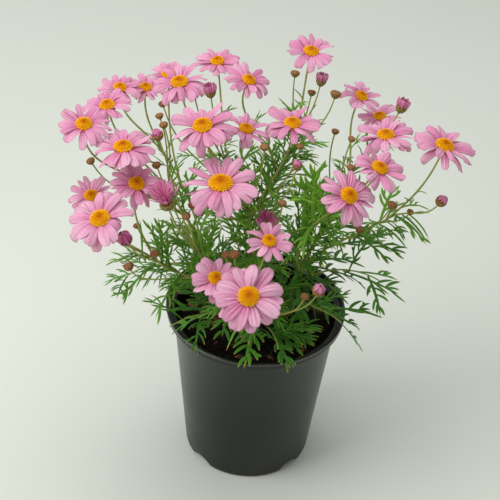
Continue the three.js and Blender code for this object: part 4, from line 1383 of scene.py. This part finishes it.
grain_size = radius / florets ** 0.5 * vary * (1.45 + share * 0.55)
tubes = disc_form.node(
    "GeometryNodeInstanceOnPoints", Points=spots, Instance=tube,
    Rotation=disc_form.point(0.0, share * 0.5, spiral),
    Scale=disc_form.point(grain_size, grain_size, grain_size),
)
dome = disc_form.node("GeometryNodeMeshUVSphere", Segments=24, Rings=10, Radius=1.0)
dome = disc_form.node(
    "GeometryNodeTransform", Geometry=store(disc_form, dome, "ripe", 0.6),
    Translation=disc_form.point(z=foot - 0.2),
    Scale=disc_form.point(radius * 0.95, radius * 0.95, rise * 0.75),
)
disc_form.close(joined(disc_form, tubes, dome))

pollen = Finish(
    "disc_floret_gold", Specular_IOR_Level=0.15, Subsurface_Weight=0.1, Subsurface_Scale=0.001
)
[ripe] = figures(pollen, "ripe")
dust = pollen.speckle(0.5)
gold = pollen.node(
    "ShaderNodeValToRGB", Fac=ripe + (dust - 0.5) * 0.35, output="Color",
    stops=((0.0, (170, 84, 0)), (0.26, (222, 132, 0)), (0.55, (250, 172, 0)), (1.0, (255, 196, 14))),
)
pollen.lay_on(Base_Color=gold, Roughness=0.6 + dust * 0.25, Normal=pollen.relief(dust, 0.2))
for stem in leafy_stems.values():
    for i, (head, stand, across, _, cup) in enumerate(stem["heads"], 1):
        if cup > half_open_cup:
            continue
        piece = grow("disc_florets_" + head, bpy.data.meshes.new("disc_card"), disc_form, pollen,
                     Disc_radius=disc_radius * across / 2, Dome=dome_share * across / 2 + 1, Seed=i)
        piece.data.transform(stand)
        settle(piece, "disc_florets", "disc_" + head, crease=40)

# The studio. The pot stands on a plain pale sweep under one broad soft light from its left and
# another from above, with some light all round, and the camera looks down on it.
floor_reach = 6
floor_drop = 0.0005
corners = [(x * floor_reach, y * floor_reach, 0) for x, y in ((-1, -1), (1, -1), (1, 1), (-1, 1))]
floor_mesh = bpy.data.meshes.new("studio_floor")
floor_mesh.from_pydata(corners, [], [(0, 1, 2, 3)])
studio_floor = put_in("studio_floor", floor_mesh)
studio_floor.location.z = -floor_drop
pale = Finish("pale_paper", Roughness=0.9, Specular_IOR_Level=0.1)
pale.lay_on(Base_Color=pale.tint(pale.speckle(300), (226, 230, 220), (232, 236, 227)))
studio_floor.data.materials.append(pale.material)

world = bpy.data.worlds.new("studio_air")
bpy.context.scene.world = world
world.use_nodes = True
air = world.node_tree.nodes["Background"].inputs
air["Color"].default_value = (0.95, 0.965, 0.94, 1)
air["Strength"].default_value = 0.41
bpy.context.scene.view_settings.view_transform = "Standard"
plant_middle = Vector((0, 0, 0.15))


def soft_light(name, place, width, power):
    lamp = bpy.data.lights.new(name, "AREA")
    lamp.size = width
    lamp.energy = power
    holder = put_in(name, lamp)
    holder.location = place
    holder.rotation_euler = (plant_middle - Vector(place)).to_track_quat("-Z", "Y").to_euler()


soft_light("window_light", (-1.0, -0.4, 1.05), 0.9, 10)
soft_light("ceiling_light", (0.0, 0.3, 1.5), 1.1, 8.5)

pitch_down = math.radians(37.5)
roll = math.radians(3.79)
focal_length = 93.6
camera_place = Vector((-7.3, -779.3, 791.8)) * mm
look = Vector((0, math.cos(pitch_down), -math.sin(pitch_down)))
level_right = Vector((1, 0, 0))
level_up = level_right.cross(look)
right = level_right * math.cos(roll) + level_up * math.sin(roll)
up = level_up * math.cos(roll) - level_right * math.sin(roll)
camera = put_in("camera", bpy.data.cameras.new("camera"))
camera.matrix_world = upright(camera_place, right, up, -look)
camera.data.sensor_width = 36
camera.data.lens = focal_length
camera.data.clip_start = 0.01
bpy.context.scene.camera = camera
